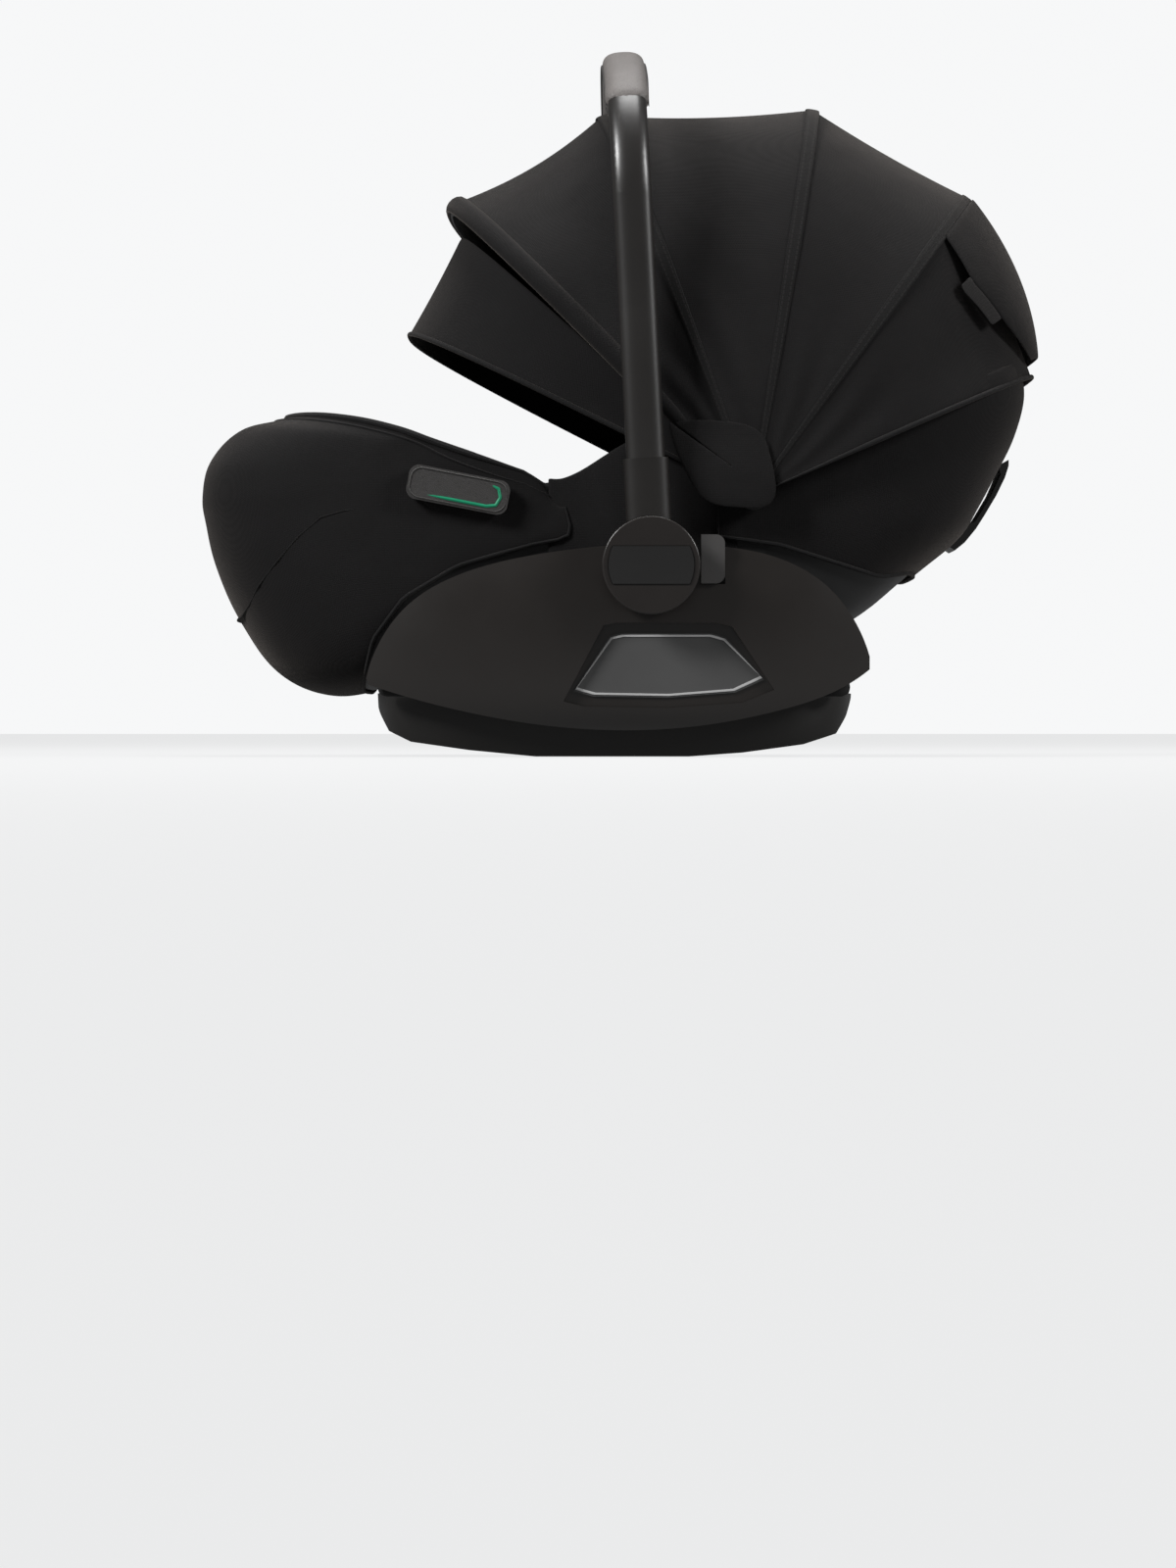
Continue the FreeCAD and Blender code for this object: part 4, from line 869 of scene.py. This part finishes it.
# The shell's bare flank between the two covers has its own small panel on each side.
FLANK_START, FLANK_LONG, FLANK_LOW = -0.060, 0.148, 0.158
for side, word in ((-1, "left"), (1, "right")):
    panel_rows = []
    for r in range(25):
        v = r / 24
        line = []
        for k in range(41):
            u = k / 40
            x = FLANK_START + FLANK_LONG * u
            top = 0.222 + 0.45 * max(0.0, 0.060 - x) + 0.6 * max(0.0, x + 0.02)
            top = min(rim_height(x) - 0.001, top)
            z = FLANK_LOW + (top - FLANK_LOW) * v
            puff = 0.0014 * (16 * u * (1 - u) * v * (1 - v)) ** 0.5
            puff += 0.0004 * math.sin(x * 210 + z * 90) * math.sin(math.pi * v)
            line.append(Vector((x, side * (SIDE * FLAT - 0.0012 + puff), z)))
        panel_rows.append(line)
    panel = grid_mesh("flank_panel_" + word, panel_rows, hood_cloth, 0.0012, inwards=Vector((0, 0, 0.2)))
    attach(panel, "seat")


def on_bucket(x, z, side, grow):
    """The point of the bucket's skin at a place in side view."""
    q = Vector((x, z)) * 0.001 - CENTRE
    reach = 1.0
    angle = math.atan2(q.y, q.x)
    for c in BUCKET_LINE:
        d = c - CENTRE
        turn = (math.atan2(d.y, d.x) - angle + math.pi) % (2 * math.pi) - math.pi
        if abs(turn) < 0.02:
            reach = d.length
    f = min(q.length / reach, 0.999)
    return Vector((x * 0.001, side * depth_at(f, grow), z * 0.001))


seam_marks = [(-190, 197), (-220, 192), (-238, 187), (-256, 172), (-272, 154), (-288, 134), (-296, 120)]
half_seam = [on_bucket(x, z, -1, 0.0022) for x, z in seam_marks]
front_bottom = Vector((-0.3085, 0.109))
across_front = []
for k in range(1, 40):
    y = -0.116 + 0.232 * k / 40
    q = CENTRE + (front_bottom - CENTRE) * fullness(abs(y) / SIDE)
    out = (q - CENTRE).normalized() * 0.0016
    across_front.append(Vector((q.x + out.x, y, q.y + out.y)))
dart = half_seam + across_front + [Vector((p.x, -p.y, p.z)) for p in reversed(half_seam)]
seam = roll("foot_cover_seam", dart, 0.0024, 0.0016, piping_cloth, "seat", UPRIGHT, steps=8)


# ---- Padded pieces ---------------------------------------
# The seat pad, headrest, shoulder and crotch pads are a soft knit over polyester wadding. Each is
# swollen from its own cut shape, and settles into the room that the shell and board leave it.
PRESSURE = 4.0
SIM_FRAMES = 20
pad_knit = cloth("pad_knit", (0.0085, 0.0085, 0.009), pitch=0.0017, sheen=0.3, crease=0.25)


def swollen(name, node, voxel, shrink, cap, body):
    """A padded piece swollen by simulation from a copy of its CAD solid, moved by cap at most."""
    piece = add(name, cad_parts[node].data.copy())
    piece.data.name = name
    piece.data.materials.clear()
    piece.data.materials.append(pad_knit)
    clean(piece)
    apply(piece, "REMESH", mode="VOXEL", voxel_size=voxel)
    apply(piece, "DISPLACE", mid_level=0.0, strength=-shrink)
    start = [v.co.copy() for v in piece.data.vertices]
    sim = piece.modifiers.new("cloth", "CLOTH")
    sim.settings.use_pressure = True
    sim.settings.uniform_pressure_force = PRESSURE
    sim.settings.effector_weights.gravity = 0
    sim.settings.quality = 5
    sim.collision_settings.use_collision = False
    sim.point_cache.frame_start = 1
    sim.point_cache.frame_end = SIM_FRAMES
    for step in range(1, SIM_FRAMES + 1):
        bpy.context.scene.frame_set(step)
    bpy.ops.object.modifier_apply(modifier=sim.name)
    bpy.context.scene.frame_set(1)
    for v, old in zip(piece.data.vertices, start):
        move = v.co - old
        if move.length > cap:
            v.co = old + move.normalized() * cap
    apply(piece, "SMOOTH", factor=0.5, iterations=3)
    apply(piece, "SUBSURF", levels=1, render_levels=1)
    bpy.ops.object.shade_smooth()
    piece.select_set(False)
    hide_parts(node)
    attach(piece, body)
    return piece


seat_cushion = swollen("seat_cushion", "seat_pad", 0.0066, 0.0012, 0.0030, "seat")
head_cushion = swollen("headrest_cushion", "headrest_pad", 0.0050, 0.0015, 0.0030, "headrest")
shoulder_cushions = swollen("shoulder_cushions", "shoulder_pads", 0.0024, 0.0006, 0.0014, "headrest")
crotch_cushion = swollen("crotch_cushion", "buckle_pad", 0.0022, 0.0006, 0.0012, "seat")


# ---- Harness webbing -------------------------------------
# Polyester webbing 36 mm wide, woven in fine ribs along its length, with a rounded selvedge. The
# adjuster strap is the same webbing, 26 mm wide.
webbing = cloth("harness_webbing", (0.012, 0.012, 0.0125), pitch=0.0016, sheen=0.15, crease=0.05,
                roughness=0.6)
for name, node, body in (
    ("shoulder_webbing", "shoulder_straps", "headrest"),
    ("lap_webbing", "lap_straps", "seat"),
    ("crotch_webbing", "crotch_strap", "seat"),
    ("adjuster_webbing", "adjuster_strap", "seat"),
):
    band = add(name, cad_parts[node].data.copy())
    band.data.materials.clear()
    band.data.materials.append(webbing)
    settle(band, bevel=0.0003)
    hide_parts(node)
    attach(band, body)

# ---- Belt hooks ------------------------------------------
# A moulded hook on each flank, wrapped in the grip's synthetic leather. A thin green line, painted
# in a groove of the real one, marks where the vehicle's belt goes.
hook_leather = leather("hook_leather", (0.034, 0.032, 0.031))
finish_nodes(hook_leather, "belt_hook_left", "belt_hook_right")
belt_green = plastic("belt_green", (0.0, 0.21, 0.1), 0.5, depth=0.05)
edge_leather = leather("hook_edge", (0.052, 0.05, 0.048))
low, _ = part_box("belt_hook_left")
HOOK_FACE = low.y
HOOK_X, HOOK_Z = -0.130, 0.208
TILT = math.radians(-11)
HALF_LONG, HALF_HIGH, CORNER = 38.2, 11.7, 9.0


def hook_line(marks, y, side):
    """Marks on the hook's tilted face, in millimetres from its middle, at depth y."""
    out = []
    for u, v in marks:
        x = HOOK_X + 0.001 * (u * math.cos(TILT) - v * math.sin(TILT))
        z = HOOK_Z + 0.001 * (u * math.sin(TILT) + v * math.cos(TILT))
        out.append(Vector((x, side * abs(y), z)))
    return out


GREEN = [(-26, -8.5), (0, -8.5), (24, -8.5), (31, -6.5), (33.5, 0), (31, 6.5), (25, 8.5)]
green_marks = []
for a, b in zip(GREEN, GREEN[1:]):
    green_marks += [(a[0] + (b[0] - a[0]) * n / 4, a[1] + (b[1] - a[1]) * n / 4) for n in range(4)]
green_marks.append(GREEN[-1])
plate = []
for k in range(48):
    c, s = math.cos(2 * math.pi * k / 48), math.sin(2 * math.pi * k / 48)
    plate.append(((HALF_LONG - CORNER) * (1 if c > 0 else -1) + CORNER * c,
                  (HALF_HIGH - CORNER) * (1 if s > 0 else -1) + CORNER * s))
plate.append(plate[0])
for side, word in ((-1, "left"), (1, "right")):
    line = hook_line(green_marks, HOOK_FACE + 0.0006, side)
    roll("belt_line_" + word, line, 0.0030, 0.0030, belt_green, "seat", steps=8)
    line = hook_line(plate, HOOK_FACE, side)
    edge = roll("hook_edge_" + word, line, 0.0012, 0.0018, edge_leather, "seat", steps=8)

# ---- Grip seams ------------------------------------------
# The sleeve on the handle is closed by a raised sewn seam on each side, and bound at its ends.
HUB_X, HUB_Z = 0.020, 0.148
lean = math.radians(-2.9)


def on_handle(y, r, dx):
    """A point of the handle's middle plane: r up from the hubs' axis, dx along the seat."""
    x = HUB_X + r * math.sin(lean) + dx * math.cos(lean)
    return Vector((x, y, HUB_Z + r * math.cos(lean) - dx * math.sin(lean)))


# The tube's middle line: half its width, the radius of its bends and of its top, and its reach,
# which is the handle's less half the tube's depth and the sleeve's skin.
half, bend, top_radius, reach = 0.2085, 0.105, 0.420, 0.422 - 0.009 - 0.002
centre_r = reach - top_radius
corner_y = half - bend
corner_r = centre_r + math.sqrt((top_radius - bend) ** 2 - corner_y ** 2)
fan = math.atan2(corner_y, corner_r - centre_r)


def grip_line(dx):
    """A line over the top of the handle and round its bends, dx along the seat from its middle."""
    line = [on_handle(-half, corner_r - 0.012 + 0.012 * n / 3, dx) for n in range(3)]
    for n in range(13):
        a = math.pi / 2 - (math.pi / 2 - fan) * n / 12
        line.append(on_handle(-(corner_y + bend * math.sin(a)), corner_r + bend * math.cos(a), dx))
    for n in range(1, 20):
        a = fan - 2 * fan * n / 20
        line.append(on_handle(-top_radius * math.sin(a), centre_r + top_radius * math.cos(a), dx))
    for n in range(13):
        a = fan + (math.pi / 2 - fan) * n / 12
        line.append(on_handle(corner_y + bend * math.sin(a), corner_r + bend * math.cos(a), dx))
    line += [on_handle(half, corner_r - 0.012 * (n + 1) / 3, dx) for n in range(3)]
    return line


middle_line = [p for p in grip_line(0.0) if p.z > 0.501]
last = len(middle_line) - 1
lean_axis = Vector((math.cos(lean), 0, -math.sin(lean)))
rings = []
for k, p in enumerate(middle_line):
    ahead = (middle_line[min(k + 1, last)] - middle_line[max(k - 1, 0)]).normalized()
    out = lean_axis.cross(ahead).normalized()
    swell = 1.06 if min(k, last - k) == 1 else 1.0
    ring = []
    for n in range(24):
        a = 2 * math.pi * n / 24
        c, q = math.cos(a), math.sin(a)
        across = 0.01665 * math.copysign(abs(c) ** 0.75, c) * swell
        thick = 0.0110 * math.copysign(abs(q) ** 0.8, q) * swell
        ring.append(p + lean_axis * across + out * thick)
    rings.append(ring)
grip = tube_mesh("grip_sleeve", rings, grip_leather)
settle(grip, levels=1)
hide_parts("handle_grip")
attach(grip, "handle")
for word, dx in (("front", -0.0166), ("rear", 0.0166)):
    line = [p for p in grip_line(dx) if p.z > 0.5015]
    seam = roll("grip_seam_" + word, line, 0.0026, 0.0026, hook_leather, "handle", Vector((1, 0, 0)), steps=8)

# ---- Tray lips -------------------------------------------
# A soft rubber lip on the tray's rim at each corner closes the gap under the fairing's tip.
LIP_Z = 0.0545
for word, sx, x0, x1 in (("front", -1, 0.110, 0.194), ("rear", 1, 0.110, 0.177)):
    for side, sy in (("left", -1), ("right", 1)):
        path = [Vector((sx * (x0 + (x1 - x0 - 0.012) * n / 8), sy * 0.1665, LIP_Z)) for n in range(9)]
        for inset, y in ((0.007, 0.1640), (0.003, 0.1590), (0.001, 0.1520)):
            path.append(Vector((sx * (x1 - inset), sy * y, LIP_Z)))
        name = "tray_lip_" + word + "_" + side
        roll(name, path, 0.0070, 0.0150, rubber, "carrier", Vector((0, 0, 1)), steps=12)

# ---- Button and tab springs ------------------------------
# Small coils of music wire behind each hub button and release tab.
for side, word in ((-1, "left"), (1, "right")):
    for node, joint, body, fixed, keep in (
        ("button_spring_" + word, "hub_button_" + word + "_press", "handle", 0.206, 0.35),
        ("release_spring_" + word, "release_tab_" + word + "_press", "carrier", 0.180, 0.30),
    ):
        coil = add("coil_" + node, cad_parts[node].data.copy())
        settle(coil)
        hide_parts(node)
        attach(coil, body)
        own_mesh(coil)
